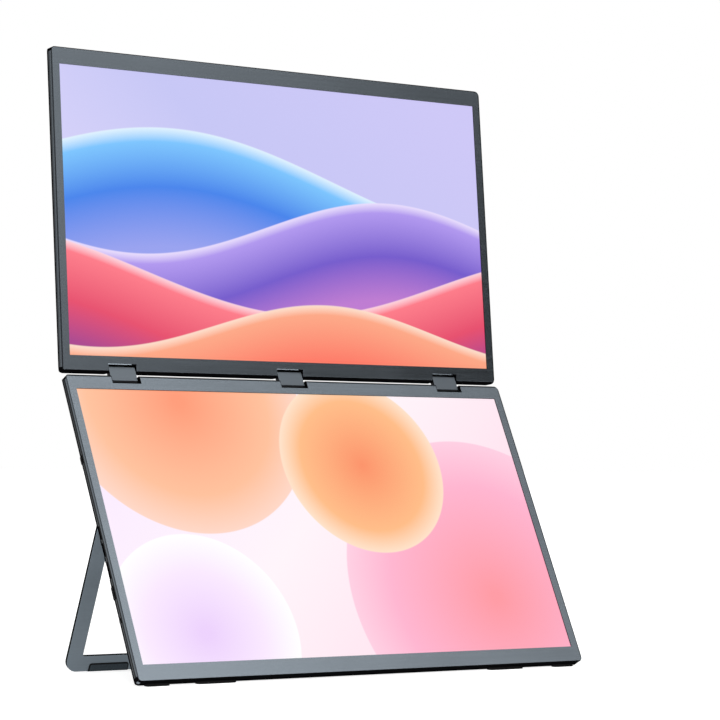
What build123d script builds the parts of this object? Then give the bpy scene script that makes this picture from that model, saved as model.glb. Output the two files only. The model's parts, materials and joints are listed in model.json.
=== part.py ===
from build123d import *
import os
from dataclasses import dataclass
from math import cos, hypot, radians, sin, tan

# Dual portable monitor: two displays on double-axle link hinges, with a folding frame stand.
# Millimetres and degrees, +Z up, +Y to the back, the ground at Z = 0.

# Pose at rest: lean back from the vertical, fold of the upper display, opening of the stand
lower_lean = 27.6
fold_angle = 21.3
stand_angle = 50.4

# Displays: the screens, and the margins from them to the outline
active_width = 344.16
active_height = 193.59
side_margin = 6.5
lower_hinge_margin = 10.6
lower_far_margin = 11.4
upper_hinge_margin = 11.5
upper_far_margin = 11.6
panel_thickness = 8.0
corner_radius = 4.0

# Front bezel and the layers behind it
bezel_thickness = 1.6
bezel_lip = 0.7
front_bevel = 0.5
edge_bevel_depth = 1.0
lower_hinge_bevel = 0.9
lower_far_bevel = 0.8
upper_hinge_bevel = 2.0
upper_far_bevel = 0.8
window_gap = 0.1
lcd_thickness = 0.9
lcd_hinge_border = 1.9
lcd_side_border = 3.4
lcd_far_border = 6.0
lcd_clearance = 0.3
backlight_thickness = 1.3
backlight_inset = 1.0

# Rear shell
rear_wall = 1.1
side_wall = 2.5
rear_bevel = 1.6
side_bevel_width = 2.4
side_bevel_depth = 3.2
seam_bevel = 0.35
overrun = 1.0

# Hinges between the displays
hinge_side_inset = 45.6
lower_axle_inset = 3.2
upper_axle_inset = 3.5
lower_axle_depth = 4.0
upper_axle_depth = 3.25
link_pitch = 10.02
link_width = 20.0
link_radius = 1.6
axle_radius = 0.8
running_gap = 0.05
washer_thickness = 0.5
washer_size = 2.6
washer_play = 0.1
notch_gap = 0.3
cover_thickness = 0.5
cover_edge = 0.2
cover_lower_setback = 0.1
cover_upper_reach = 0.46

# Hinge brackets
lug_thickness = 2.2
lug_radius = 1.4
lug_pocket_gap = 0.2
edge_cover = 0.5
bracket_depth = 4.9
bracket_thickness = 1.0
bracket_start = 1.0
bracket_length = 12.0
bracket_pad_margin = 1.0

# Screws
screw_radius = 0.95
screw_gap = 0.05
screw_head_radius = 1.8
head_sides = 6
screw_head_height = 0.7
screw_tip_depth = 7.5
bracket_screw_offset = 7.0

# Main board, on the left behind the backlight, and the driver board of the upper display
board_gap = 0.1
board_thickness = 0.6
board_wall_gap = 1.2
board_strip_width = 13.0
board_width = 115.0
board_strip_top_shift = -54.6
board_top_shift = -0.6
board_bottom_shift = 77.4
board_post_size = 4.6
board_post_inset = 8.0
chip_height = 1.4
processor_size = 16.0
memory_width = 9.0
memory_length = 13.0
chip_pitch = 24.0
driver_board_width = 150.0
driver_board_height = 18.0
driver_board_start = 34.0
driver_chip_size = 8.0

# Left wall of the lower display: places from its middle, and the controls and ports there
power_shift = -47.0
usb_first_shift = 5.0
usb_second_shift = 16.9
hdmi_shift = 31.0
menu_shift = 46.2
light_shift = 65.4
control_depth = 4.5
control_gap = 0.35
power_length = 5.0
power_width = 2.0
power_travel = 0.4
flange_overlap = 1.0
flange_thickness = 0.6
flange_width = 1.7
flange_gap = 0.1
switch_size = 3.0
switch_height = 1.6
switch_gap = 0.1
menu_length = 8.7
menu_width = 2.2
menu_flange_gap = 0.5
menu_switch_gap = 0.5
menu_pivot_inset = 4.3
menu_barrel_radius = 1.1
menu_pin_radius = 0.6
light_length = 2.5
light_width = 1.2
light_depth = 4.0
light_gap = 0.1
port_setback = 1.8
port_length = 6.4
port_height = 2.9
port_wall = 0.25
port_gap = 0.15
port_back = 1.0
tongue_thickness = 0.7
usb_width = 8.94
usb_corner = 1.3
hdmi_width = 11.2
hdmi_corner = 0.6
tongue_width_share = 0.75
neck_share = 0.75

# Speakers behind slots in the lower display's rear shell
speaker_side_inset = 40.6
speaker_place = 43.7
speaker_width = 38.0
speaker_height = 16.0
speaker_thickness = 3.2
speaker_slot_count = 7
speaker_slot_pitch = 4.0
speaker_slot_length = 10.0
speaker_slot_width = 1.4

# Kickstand
stand_inset = 10.4
stand_pivot_share = 0.4111
stand_pivot_depth = 6.3
stand_barrel_radius = 1.6
stand_thickness = 2.2
stand_strip = 11.0
stand_corner_radius = 8.5
stand_window_radius = 1.5
stand_top_edge = 0.6
stand_recess_gap = 0.5
stand_recess_floor_gap = 0.1
stand_recess_wall = 1.4
stand_recess_top = 2.0
stand_barrel_gap = 0.3
scoop_width = 42.0
scoop_height = 9.0

# Kickstand hinges
stand_hinge_side_inset = 60.6
stand_barrel_length = 20.0
stand_knuckle_length = 9.0
stand_knuckle_gap = 0.2
stand_pin_radius = 0.8
leaf_length = 13.0
leaf_thickness = 1.2
leaf_pocket_gap = 0.2
leaf_screw_place = 8.0
leaf_screw_spacing = 24.0
leaf_screw_tip = 4.6
hinge_block_wall = 1.2
hinge_block_margin = 3.0

# Rubber pads on the stand and feet on the lower display
pad_side_inset = 27.8
pad_length = 30.0
pad_height = 5.6
pad_rebate = 0.8
pad_proud = 0.4
pad_lip = 1.2
pad_corner_radius = 2.0
pad_pocket_gap = 0.3
foot_heel = 0.6
foot_front = 3.2
foot_rear = 6.4
outer_foot_side_inset = 7.3
outer_foot_length = 17.0
inner_foot_side_inset = 48.0
inner_foot_length = 29.0
inner_feet_shift = -3.5

# Worked-out sizes
panel_width = active_width + 2 * side_margin
lower_height = lower_hinge_margin + active_height + lower_far_margin
upper_height = upper_hinge_margin + active_height + upper_far_margin
half_width = panel_width / 2
inner_depth = panel_thickness - rear_wall
cavity_half = half_width - side_wall
layers_back = bezel_lip + lcd_thickness + backlight_thickness
board_front = layers_back + board_gap
board_back = board_front + board_thickness
lug_inner = link_width / 2 + washer_play + washer_thickness
lug_outer = lug_inner + lug_thickness
stand_lean = lower_lean - stand_angle
upper_lean = lower_lean - fold_angle
stand_half = half_width - stand_inset
plate_outer = stand_barrel_radius
plate_inner = plate_outer - stand_thickness
recess_floor = stand_pivot_depth + plate_inner - stand_recess_floor_gap
leaf_half = stand_barrel_length / 2 + stand_knuckle_gap + stand_knuckle_length
hinge_offset = half_width - hinge_side_inset
hinge_places = {"left": -hinge_offset, "centre": 0, "right": hinge_offset}
side_signs = {"left": -1, "right": 1}
cover_front = link_radius + cover_thickness
lower_notch_depth = lower_axle_inset + cover_front + notch_gap
upper_notch_depth = upper_axle_inset + hypot(cover_upper_reach, cover_front) + notch_gap
lower_middle = lower_height / 2
power_place = lower_middle + power_shift
usb_places = (lower_middle + usb_first_shift, lower_middle + usb_second_shift)
hdmi_place = lower_middle + hdmi_shift
menu_place = lower_middle + menu_shift
light_place = lower_middle + light_shift
speaker_offset = half_width - speaker_side_inset
stand_pivot_place = lower_height * stand_pivot_share
stand_hinge_offset = half_width - stand_hinge_side_inset
pad_to = half_width - pad_side_inset
pad_from = pad_to - pad_length
outer_foot_to = half_width - outer_foot_side_inset
outer_foot_from = outer_foot_to - outer_foot_length
inner_foot_to = half_width - inner_foot_side_inset
inner_foot_from = inner_foot_to - inner_foot_length


def tilted_plane(place, lean, turned=False):
    """Plane whose Z runs to the back and whose Y runs down, or up when turned, a piece that leans back."""
    x_dir = (-1, 0, 0) if turned else (1, 0, 0)
    return Plane(origin=place, x_dir=x_dir, z_dir=(0, cos(radians(lean)), -sin(radians(lean))))


def point_on(plane, y, depth):
    """Point of a tilted plane's frame, at x = 0, in the object's frame."""
    return plane.from_local_coords(Vector(0, y, depth))


def frames(shift):
    """Frames of the lower display, the upper display and the stand, the lower's front edge at Y = shift."""
    lean = radians(lower_lean)
    top = (lower_height + foot_heel) * cos(lean) + foot_rear * sin(lean)
    lower_frame = tilted_plane((0, shift, top), lower_lean)
    upper_axle = point_on(lower_frame, lower_axle_inset - link_pitch, lower_axle_depth)
    at_axle = tilted_plane(upper_axle, upper_lean, turned=True)
    upper_front = point_on(at_axle, -upper_axle_inset, -upper_axle_depth)
    upper_frame = tilted_plane(upper_front, upper_lean, turned=True)
    pivot = point_on(lower_frame, stand_pivot_place, stand_pivot_depth)
    return lower_frame, upper_frame, tilted_plane(pivot, stand_lean)


# The object is centred front to back between the front foot and the upper display's rear edge.
draft_lower, draft_upper, _ = frames(0)
foot_toe = foot_heel + (foot_rear - foot_front) * tan(radians(lower_lean))
front_edge = min(
    point_on(draft_lower, lower_height + foot_toe, foot_front).Y,
    point_on(draft_lower, lower_height, edge_bevel_depth).Y,
    point_on(draft_lower, lower_height - lower_far_bevel, 0).Y,
)
rear_edge = max(
    point_on(draft_upper, upper_height, panel_thickness - rear_bevel).Y,
    point_on(draft_upper, upper_height - rear_bevel, panel_thickness).Y,
)
lower_frame, upper_frame, stand_frame = frames(-(front_edge + rear_edge) / 2)

# The stand reaches the ground with its pads' outer edge.
stand_tilt = radians(-stand_lean)
stand_length = (stand_frame.origin.Z + plate_outer * sin(stand_tilt)) / cos(stand_tilt) - pad_lip
stand_window_top = stand_top_edge + stand_strip
stand_window_bottom = stand_length - stand_strip
stand_window_half = stand_half - stand_strip


@dataclass
class Panel:
    """One display: its frame starts at the hinge edge's front line, with Y away from the hinge."""

    name: str
    frame: Plane
    height: float
    hinge_margin: float
    axle_inset: float
    axle_depth: float
    notch_depth: float
    hinge_bevel: float
    far_bevel: float

    @property
    def lcd_edge(self):
        return self.hinge_margin - lcd_hinge_border

    @property
    def rim(self):
        return self.lcd_edge - lcd_clearance

    @property
    def lcd_end(self):
        return self.hinge_margin + active_height + lcd_far_border

    @property
    def plate_start(self):
        return self.rim + bracket_start


lower = Panel(
    name="lower",
    frame=lower_frame,
    height=lower_height,
    hinge_margin=lower_hinge_margin,
    axle_inset=lower_axle_inset,
    axle_depth=lower_axle_depth,
    notch_depth=lower_notch_depth,
    hinge_bevel=lower_hinge_bevel,
    far_bevel=lower_far_bevel,
)
upper = Panel(
    name="upper",
    frame=upper_frame,
    height=upper_height,
    hinge_margin=upper_hinge_margin,
    axle_inset=upper_axle_inset,
    axle_depth=upper_axle_depth,
    notch_depth=upper_notch_depth,
    hinge_bevel=upper_hinge_bevel,
    far_bevel=upper_far_bevel,
)
os.makedirs("parts", exist_ok=True)


def save(part, name):
    """Label a finished piece and write it to its own file."""
    part.label = name
    export_step(part, f"parts/{name}.step")


def area(x_from, x_to, y_from, y_to, mode=Mode.ADD):
    """Rectangle of the current sketch, between two X and two Y limits."""
    with Locations(((x_from + x_to) / 2, (y_from + y_to) / 2)):
        Rectangle(x_to - x_from, y_to - y_from, mode=mode)


def across(frame, x):
    """Plane that cuts a tilted frame at x: its X is the frame's Y and its Y is the frame's depth."""
    return Plane(origin=frame.from_local_coords(Vector(x, 0, 0)), x_dir=frame.y_dir, z_dir=frame.x_dir)


def outline(panel):
    with Locations((0, panel.height / 2)):
        RectangleRounded(panel_width, panel.height, corner_radius)


def end_face(builder, frame, last):
    """Front or rear face of a piece, along its frame's depth."""
    faces = builder.faces().sort_by(Axis(frame.origin, frame.z_dir))
    return faces[-1] if last else faces[0]


def link_notches(panel):
    """Notches that let the three links into the hinge edge."""
    for x in hinge_places.values():
        area(x - lug_inner, x + lug_inner, -overrun, panel.notch_depth)


def corner_wedge(corner, along, deep):
    """Triangle over a corner: its long side is the bevel, and the other two stand clear of the piece."""
    x, y = corner
    Polygon((x - along, y - deep), (x + 2 * along, y - deep), (x - along, y + 2 * deep), align=None)


def long_edge_bevels(panel):
    """Wedges that bevel the front of a display's hinge edge and far edge."""
    with BuildPart() as wedges:
        with BuildSketch(across(panel.frame, 0)):
            corner_wedge((0, 0), panel.hinge_bevel, edge_bevel_depth)
        with BuildSketch(across(panel.frame, 0)):
            corner_wedge((panel.height, 0), -panel.far_bevel, edge_bevel_depth)
        extrude(amount=panel_width, both=True)
    return wedges.part


def side_bevels(panel):
    """Wedges that bevel the rear of a display's left and right edges."""
    ends = Plane(origin=panel.frame.origin, x_dir=panel.frame.x_dir, z_dir=-panel.frame.y_dir)
    with BuildPart() as wedges:
        for side in (-1, 1):
            with BuildSketch(ends):
                corner = (side * half_width, panel_thickness)
                corner_wedge(corner, -side * side_bevel_width, -side_bevel_depth)
        extrude(amount=-panel.height)
    return wedges.part


def front_bezel(panel):
    """Front frame: a bevelled plate with the screen's window and a rebate for the LCD panel."""
    bevels = long_edge_bevels(panel)
    with BuildPart() as bezel:
        with BuildSketch(panel.frame):
            outline(panel)
        extrude(amount=bezel_thickness)
        chamfer(end_face(bezel, panel.frame, last=False).edges(), front_bevel)
        add(bevels, mode=Mode.SUBTRACT)
        with BuildSketch(panel.frame):
            area(
                -active_width / 2 - window_gap,
                active_width / 2 + window_gap,
                panel.hinge_margin - window_gap,
                panel.hinge_margin + active_height + window_gap,
            )
            link_notches(panel)
        extrude(amount=bezel_thickness, mode=Mode.SUBTRACT)
        with BuildSketch(panel.frame.offset(bezel_lip)):
            reach = active_width / 2 + lcd_side_border + lcd_clearance
            area(-reach, reach, panel.rim, panel.lcd_end + lcd_clearance)
        extrude(amount=bezel_thickness - bezel_lip, mode=Mode.SUBTRACT)
    return bezel.part


def lcd_panel(panel):
    with BuildPart() as lcd:
        with BuildSketch(panel.frame.offset(bezel_lip)):
            reach = active_width / 2 + lcd_side_border
            area(-reach, reach, panel.lcd_edge, panel.lcd_end)
        extrude(amount=lcd_thickness)
    return lcd.part


def backlight(panel):
    with BuildPart() as light:
        with BuildSketch(panel.frame.offset(bezel_lip + lcd_thickness)):
            reach = active_width / 2 + lcd_side_border - backlight_inset
            area(-reach, reach, panel.lcd_edge, panel.lcd_end - backlight_inset)
        extrude(amount=backlight_thickness)
    return light.part


def bracket_screw_points(panel):
    """Centres of the bracket screws, two at each hinge."""
    y = panel.plate_start + bracket_length / 2
    return [(x + side * bracket_screw_offset, y) for x in hinge_places.values() for side in (-1, 1)]


def rear_shell(panel):
    """Rear shell with bevelled rear edges, a hollow for the layers, and the hinge notches and pads."""
    bevels = side_bevels(panel)
    with BuildPart() as shell:
        with BuildSketch(panel.frame.offset(bezel_thickness)):
            outline(panel)
        extrude(amount=panel_thickness - bezel_thickness)
        chamfer(end_face(shell, panel.frame, last=True).edges(), rear_bevel)
        chamfer(end_face(shell, panel.frame, last=False).edges(), seam_bevel)
        add(bevels, mode=Mode.SUBTRACT)
        with BuildSketch(panel.frame.offset(bezel_thickness)):
            area(-cavity_half, cavity_half, panel.rim, panel.height - side_wall)
        extrude(amount=inner_depth - bezel_thickness, mode=Mode.SUBTRACT)
        with BuildSketch(panel.frame.offset(bezel_thickness)):
            link_notches(panel)
        extrude(amount=panel_thickness, mode=Mode.SUBTRACT)
        pocket_front = panel.axle_depth - lug_radius - lug_pocket_gap
        with BuildSketch(panel.frame.offset(pocket_front)):
            for x in hinge_places.values():
                reach = lug_outer + lug_pocket_gap
                area(x - reach, x + reach, edge_cover, panel.rim + overrun)
        pocket_back = bracket_depth + bracket_thickness + lug_pocket_gap
        extrude(amount=pocket_back - pocket_front, mode=Mode.SUBTRACT)
        pad_front = bracket_depth + bracket_thickness
        with BuildSketch(panel.frame.offset(pad_front)):
            for x in hinge_places.values():
                reach = lug_inner - bracket_pad_margin
                pad_end = panel.plate_start + bracket_length
                area(x - reach, x + reach, panel.plate_start + bracket_pad_margin, pad_end)
        extrude(amount=inner_depth - pad_front)
        with BuildSketch(panel.frame.offset(pad_front)):
            with Locations(*bracket_screw_points(panel)):
                Circle(screw_radius + screw_gap)
        extrude(amount=screw_tip_depth - pad_front, mode=Mode.SUBTRACT)
    return shell.part


def hinge_bracket(panel, x):
    """Steel clevis: a plate screwed to the shell, with a lug on either side of the link."""
    screw_row = panel.plate_start + bracket_length / 2
    with BuildPart() as bracket:
        with BuildSketch(panel.frame.offset(bracket_depth)):
            area(x - lug_outer, x + lug_outer, panel.plate_start, panel.plate_start + bracket_length)
            with Locations((x - bracket_screw_offset, screw_row), (x + bracket_screw_offset, screw_row)):
                Circle(screw_radius + screw_gap, mode=Mode.SUBTRACT)
        extrude(amount=bracket_thickness)
        for side in (-1, 1):
            with BuildSketch(across(panel.frame, x + side * (lug_inner + lug_thickness / 2))):
                with Locations((panel.axle_inset, panel.axle_depth)):
                    Circle(lug_radius)
                plate_back = bracket_depth + bracket_thickness
                area(panel.plate_start, panel.plate_start + lug_thickness, bracket_depth, plate_back)
                make_hull()
                with Locations((panel.axle_inset, panel.axle_depth)):
                    Circle(axle_radius, mode=Mode.SUBTRACT)
            extrude(amount=lug_thickness / 2, both=True)
    return bracket.part


def axle_pin(panel, x):
    with BuildPart() as pin:
        with BuildSketch(across(panel.frame, x)):
            with Locations((panel.axle_inset, panel.axle_depth)):
                Circle(axle_radius)
        extrude(amount=lug_outer, both=True)
    return pin.part


def friction_washers(panel):
    """Square washers on the axle pins, one between each lug and the link."""
    with BuildPart() as washers:
        for x in hinge_places.values():
            for side in (-1, 1):
                with BuildSketch(across(panel.frame, x + side * (lug_inner - washer_thickness / 2))):
                    with Locations((panel.axle_inset, panel.axle_depth)):
                        Rectangle(washer_size, washer_size)
                        Circle(axle_radius + running_gap, mode=Mode.SUBTRACT)
                extrude(amount=washer_thickness / 2, both=True)
    return washers.part


def bracket_screws(panel):
    """Screws driven to the back: a flat six-sided head on the bracket's plate, and a shank."""
    points = bracket_screw_points(panel)
    rods = shanks(panel, points, bracket_depth, screw_tip_depth, 0)
    with BuildPart() as screws:
        with BuildSketch(panel.frame.offset(bracket_depth - screw_head_height)):
            with Locations(*points):
                RegularPolygon(screw_head_radius, head_sides)
        extrude(amount=screw_head_height)
        add(rods)
    return screws.part


def countersinks(panel, points, gap):
    """Cones of countersunk heads through a board, narrowing to the shank at the board's back."""
    with BuildPart() as cones:
        for point in points:
            with BuildSketch(panel.frame.offset(board_front)):
                with Locations(point):
                    Circle(screw_head_radius + gap)
            with BuildSketch(panel.frame.offset(board_back)):
                with Locations(point):
                    Circle(screw_radius + gap)
            loft()
    return cones.part


def shanks(panel, points, start, end, gap):
    """Round shanks, or with a gap their holes, between two depths of a display."""
    with BuildPart() as rods:
        with BuildSketch(panel.frame.offset(start)):
            with Locations(*points):
                Circle(screw_radius + gap)
        extrude(amount=end - start)
    return rods.part


def board_screws(panel, points):
    """Countersunk screws, flush with the board's front, into the posts behind it."""
    heads = countersinks(panel, points, 0)
    rods = shanks(panel, points, board_back, screw_tip_depth, 0)
    with BuildPart() as screws:
        add(heads)
        add(rods)
    return screws.part


def board_posts(panel, points):
    """Posts from the rear wall to a board's back."""
    with BuildPart() as posts:
        with BuildSketch(panel.frame.offset(board_back)):
            with Locations(*points):
                Rectangle(board_post_size, board_post_size)
        extrude(amount=inner_depth - board_back)
    return posts.part


def hinge_link(x):
    """Link between the displays: round at both axles, with a bore for each pin."""
    upper_place = lower_axle_inset - link_pitch
    with BuildPart() as link:
        with BuildSketch(across(lower.frame, x)):
            with Locations((lower_axle_inset, lower_axle_depth), (upper_place, lower_axle_depth)):
                Circle(link_radius)
            make_hull()
            with Locations((lower_axle_inset, lower_axle_depth), (upper_place, lower_axle_depth)):
                Circle(axle_radius + running_gap, mode=Mode.SUBTRACT)
        extrude(amount=link_width / 2, both=True)
    return link.part


def hinge_cover(x):
    """Cover plate on the front of a link, over both of its axles."""
    first = lower_axle_inset - link_pitch - cover_upper_reach
    last = lower_axle_inset - cover_lower_setback
    with BuildPart() as cover:
        with BuildSketch(lower.frame.offset(lower_axle_depth - cover_front)):
            area(x - link_width / 2, x + link_width / 2, first, last)
        extrude(amount=cover_thickness)
        chamfer(end_face(cover, lower.frame, last=False).edges(), cover_edge)
    return cover.part


# Both displays
for panel in (lower, upper):
    save(front_bezel(panel), f"{panel.name}_front_bezel")
    save(lcd_panel(panel), f"{panel.name}_lcd_panel")
    save(backlight(panel), f"{panel.name}_backlight")
    for side, place in hinge_places.items():
        x = place if panel is lower else -place
        save(hinge_bracket(panel, x), f"{panel.name}_hinge_bracket_{side}")
        save(axle_pin(panel, x), f"{panel.name}_hinge_pin_{side}")
    save(friction_washers(panel), f"{panel.name}_hinge_washers")
    save(bracket_screws(panel), f"{panel.name}_bracket_screws")

for side, place in hinge_places.items():
    save(hinge_link(place), f"hinge_link_{side}")
    save(hinge_cover(place), f"hinge_cover_{side}")

# Driver board of the upper display, on posts from the rear shell
driver_post_points = [
    (side * (driver_board_width / 2 - board_post_inset), driver_board_start + driver_board_height / 2)
    for side in (-1, 1)
]

upper_shell_base = rear_shell(upper)
driver_posts = board_posts(upper, driver_post_points)
driver_holes = shanks(upper, driver_post_points, board_back, screw_tip_depth, screw_gap)
driver_cones = countersinks(upper, driver_post_points, screw_gap)
with BuildPart() as upper_rear_shell:
    add(upper_shell_base)
    add(driver_posts)
    add(driver_holes, mode=Mode.SUBTRACT)
save(upper_rear_shell.part, "upper_rear_shell")

with BuildPart() as driver_board:
    with BuildSketch(upper.frame.offset(board_front)):
        reach = driver_board_width / 2
        area(-reach, reach, driver_board_start, driver_board_start + driver_board_height)
    extrude(amount=board_thickness)
    add(driver_cones, mode=Mode.SUBTRACT)
save(driver_board.part, "driver_board")

with BuildPart() as driver_chips:
    with BuildSketch(upper.frame.offset(board_back)):
        for shift in (-chip_pitch, 0, chip_pitch):
            with Locations((shift, driver_board_start + driver_board_height / 2)):
                Rectangle(driver_chip_size, driver_chip_size)
    extrude(amount=chip_height)
save(driver_chips.part, "driver_board_chips")
save(board_screws(upper, driver_post_points), "driver_board_screws")

# Main board: a strip along the left wall and a wide part beside the ports, on posts from the rear shell
board_left = -cavity_half + board_wall_gap
board_strip_right = board_left + board_strip_width
board_right = board_left + board_width
board_strip_top = lower_middle + board_strip_top_shift
board_top = lower_middle + board_top_shift
board_bottom = lower_middle + board_bottom_shift
chip_column = (board_strip_right + board_right) / 2
chip_row = (board_top + board_bottom) / 2
board_post_points = [
    (x, y)
    for x in (board_strip_right + board_post_inset, board_right - board_post_inset)
    for y in (board_top + board_post_inset, board_bottom - board_post_inset)
]

main_posts = board_posts(lower, board_post_points)
main_holes = shanks(lower, board_post_points, board_back, screw_tip_depth, screw_gap)
board_cones = countersinks(lower, board_post_points, screw_gap)

with BuildPart() as main_board:
    with BuildSketch(lower.frame.offset(board_front)):
        area(board_left, board_strip_right, board_strip_top, board_bottom)
        area(board_left, board_right, board_top, board_bottom)
    extrude(amount=board_thickness)
    add(board_cones, mode=Mode.SUBTRACT)
save(main_board.part, "main_board")

with BuildPart() as main_chips:
    with BuildSketch(lower.frame.offset(board_back)):
        with Locations((chip_column, chip_row)):
            Rectangle(processor_size, processor_size)
        with Locations((chip_column - chip_pitch, chip_row), (chip_column + chip_pitch, chip_row)):
            Rectangle(memory_width, memory_length)
    extrude(amount=chip_height)
save(main_chips.part, "main_board_chips")
save(board_screws(lower, board_post_points), "main_board_screws")


def stand_ring(grow):
    """Outline of the stand in the lower display's frame, grown outwards and into its window."""
    top = stand_pivot_place - stand_recess_top
    bottom = stand_pivot_place + stand_length
    reach = stand_half + grow
    with Locations((0, (top + bottom + grow) / 2)):
        Rectangle(2 * reach, bottom + grow - top)
    window_half = stand_window_half - grow
    window_top = stand_pivot_place + stand_window_top + grow
    window_bottom = stand_pivot_place + stand_window_bottom - grow
    area(-window_half, window_half, window_top, window_bottom, mode=Mode.SUBTRACT)


def wall_slot(place, length, width, depth):
    """Slot for a control or port, on a plane along the left wall."""
    with Locations((place, depth)):
        Rectangle(length, width)


left_wall = across(lower.frame, -half_width)
port_depth = board_back + port_height / 2
hinge_block_front = stand_pivot_depth - stand_barrel_radius - stand_barrel_gap - hinge_block_wall
leaf_pocket_floor = stand_pivot_depth + stand_barrel_radius - leaf_thickness
leaf_screw_points = [
    (side * stand_hinge_offset + end * leaf_screw_spacing / 2, stand_pivot_place - leaf_screw_place)
    for side in (-1, 1)
    for end in (-1, 1)
]

leaf_holes = shanks(lower, leaf_screw_points, leaf_screw_tip, panel_thickness, screw_gap)
lower_shell_base = rear_shell(lower)

with BuildPart() as lower_rear_shell:
    add(lower_shell_base)
    # Floor of the stand's recess, and solid blocks under the stand's hinges
    with BuildSketch(lower.frame.offset(recess_floor - stand_recess_wall)):
        stand_ring(stand_recess_gap + stand_recess_wall)
    extrude(amount=inner_depth - recess_floor + stand_recess_wall)
    with BuildSketch(lower.frame.offset(hinge_block_front)):
        for side in (-1, 1):
            middle = side * stand_hinge_offset
            reach = leaf_half + hinge_block_margin
            block_top = stand_pivot_place - leaf_length - hinge_block_margin
            area(middle - reach, middle + reach, block_top, stand_pivot_place + hinge_block_margin)
    extrude(amount=inner_depth - hinge_block_front)
    add(main_posts)
    add(main_holes, mode=Mode.SUBTRACT)
    # Recess of the stand, with a scoop for a finger and deeper pockets for its pads
    with BuildSketch(lower.frame.offset(recess_floor)):
        stand_ring(stand_recess_gap)
        scoop_end = stand_pivot_place + stand_window_bottom
        area(-scoop_width / 2, scoop_width / 2, scoop_end - scoop_height, scoop_end)
    extrude(amount=panel_thickness, mode=Mode.SUBTRACT)
    pocket_floor = recess_floor - pad_proud - stand_recess_floor_gap
    with BuildSketch(lower.frame.offset(pocket_floor)):
        pocket_end = stand_pivot_place + stand_length + pad_lip + pad_pocket_gap
        pocket_top = stand_pivot_place + stand_length - pad_height - pad_pocket_gap
        for side in (-1, 1):
            middle = side * (pad_from + pad_to) / 2
            reach = (pad_to - pad_from) / 2 + pad_pocket_gap
            area(middle - reach, middle + reach, pocket_top, pocket_end)
    extrude(amount=panel_thickness, mode=Mode.SUBTRACT)
    # Trough for the stand's barrels, and pockets and screw holes for the fixed leaves
    with BuildSketch(lower.frame.offset(hinge_block_front + hinge_block_wall)):
        for side in (-1, 1):
            middle = side * stand_hinge_offset
            reach = leaf_half + leaf_pocket_gap
            trough = stand_barrel_radius + stand_barrel_gap
            area(middle - reach, middle + reach, stand_pivot_place - trough, stand_pivot_place + trough)
    extrude(amount=panel_thickness, mode=Mode.SUBTRACT)
    with BuildSketch(lower.frame.offset(leaf_pocket_floor)):
        for side in (-1, 1):
            middle = side * stand_hinge_offset
            reach = leaf_half + leaf_pocket_gap
            pocket_top = stand_pivot_place - leaf_length - leaf_pocket_gap
            area(middle - reach, middle + reach, pocket_top, stand_pivot_place)
    extrude(amount=panel_thickness, mode=Mode.SUBTRACT)
    add(leaf_holes, mode=Mode.SUBTRACT)
    # Slots of the left wall
    with BuildSketch(left_wall):
        wall_slot(power_place, power_length + 2 * control_gap, power_width + 2 * control_gap, control_depth)
        wall_slot(menu_place, menu_length + 2 * control_gap, menu_width + 2 * control_gap, control_depth)
        wall_slot(light_place, light_length + 2 * light_gap, light_width + 2 * light_gap, control_depth)
        for place in usb_places:
            wall_slot(place, usb_width + 2 * port_gap, port_height + 2 * port_gap, port_depth)
        wall_slot(hdmi_place, hdmi_width + 2 * port_gap, port_height + 2 * port_gap, port_depth)
    extrude(amount=side_wall, mode=Mode.SUBTRACT)
    # Speaker slots
    with BuildSketch(lower.frame.offset(inner_depth)):
        with Locations((-speaker_offset, speaker_place), (speaker_offset, speaker_place)):
            with GridLocations(speaker_slot_pitch, speaker_slot_length, speaker_slot_count, 1):
                Rectangle(speaker_slot_width, speaker_slot_length)
    extrude(amount=panel_thickness, mode=Mode.SUBTRACT)
save(lower_rear_shell.part, "lower_rear_shell")

# Speakers on the rear wall, behind their slots
for side, sign in side_signs.items():
    with BuildPart() as speaker:
        with BuildSketch(lower.frame.offset(inner_depth - speaker_thickness)):
            with Locations((sign * speaker_offset, speaker_place)):
                Rectangle(speaker_width, speaker_height)
        extrude(amount=speaker_thickness)
    save(speaker.part, f"speaker_{side}")


def port(place, width, corner):
    """Receptacle on the main board: a hollow shell with a tongue, its mouth in the left wall."""
    mouth = across(lower.frame, -half_width + port_setback)
    middle = mouth.from_local_coords(Vector(place, port_depth, 0))
    seat = Plane(origin=middle, x_dir=mouth.x_dir, z_dir=mouth.z_dir)
    with BuildPart() as body:
        with BuildSketch(seat):
            RectangleRounded(width, port_height, corner)
        extrude(amount=port_length)
        with BuildSketch(seat):
            RectangleRounded(width - 2 * port_wall, port_height - 2 * port_wall, corner - port_wall)
        extrude(amount=port_length - port_back, mode=Mode.SUBTRACT)
        with BuildSketch(seat.offset(port_back)):
            Rectangle(width * tongue_width_share, tongue_thickness)
        extrude(amount=port_length - port_back)
    return body.part


usb_bodies = [port(place, usb_width, usb_corner) for place in usb_places]
with BuildPart() as usb_ports:
    add(usb_bodies)
save(usb_ports.part, "usb_c_ports")
save(port(hdmi_place, hdmi_width, hdmi_corner), "mini_hdmi_port")

# Power button: a cap in the wall with a flange behind it, and its switch on the board
flange_front = side_wall + flange_gap
with BuildPart() as power_button:
    with BuildSketch(left_wall):
        wall_slot(power_place, power_length, power_width, control_depth)
    extrude(amount=flange_front)
    with BuildSketch(left_wall.offset(flange_front)):
        wall_slot(power_place, power_length + 2 * flange_overlap, flange_width, control_depth)
    extrude(amount=flange_thickness)
save(power_button.part, "power_button")


def board_switch(place):
    """Face of a switch that stands on the main board."""
    with Locations((place, board_back + switch_height / 2)):
        Rectangle(switch_size, switch_height)


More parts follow.
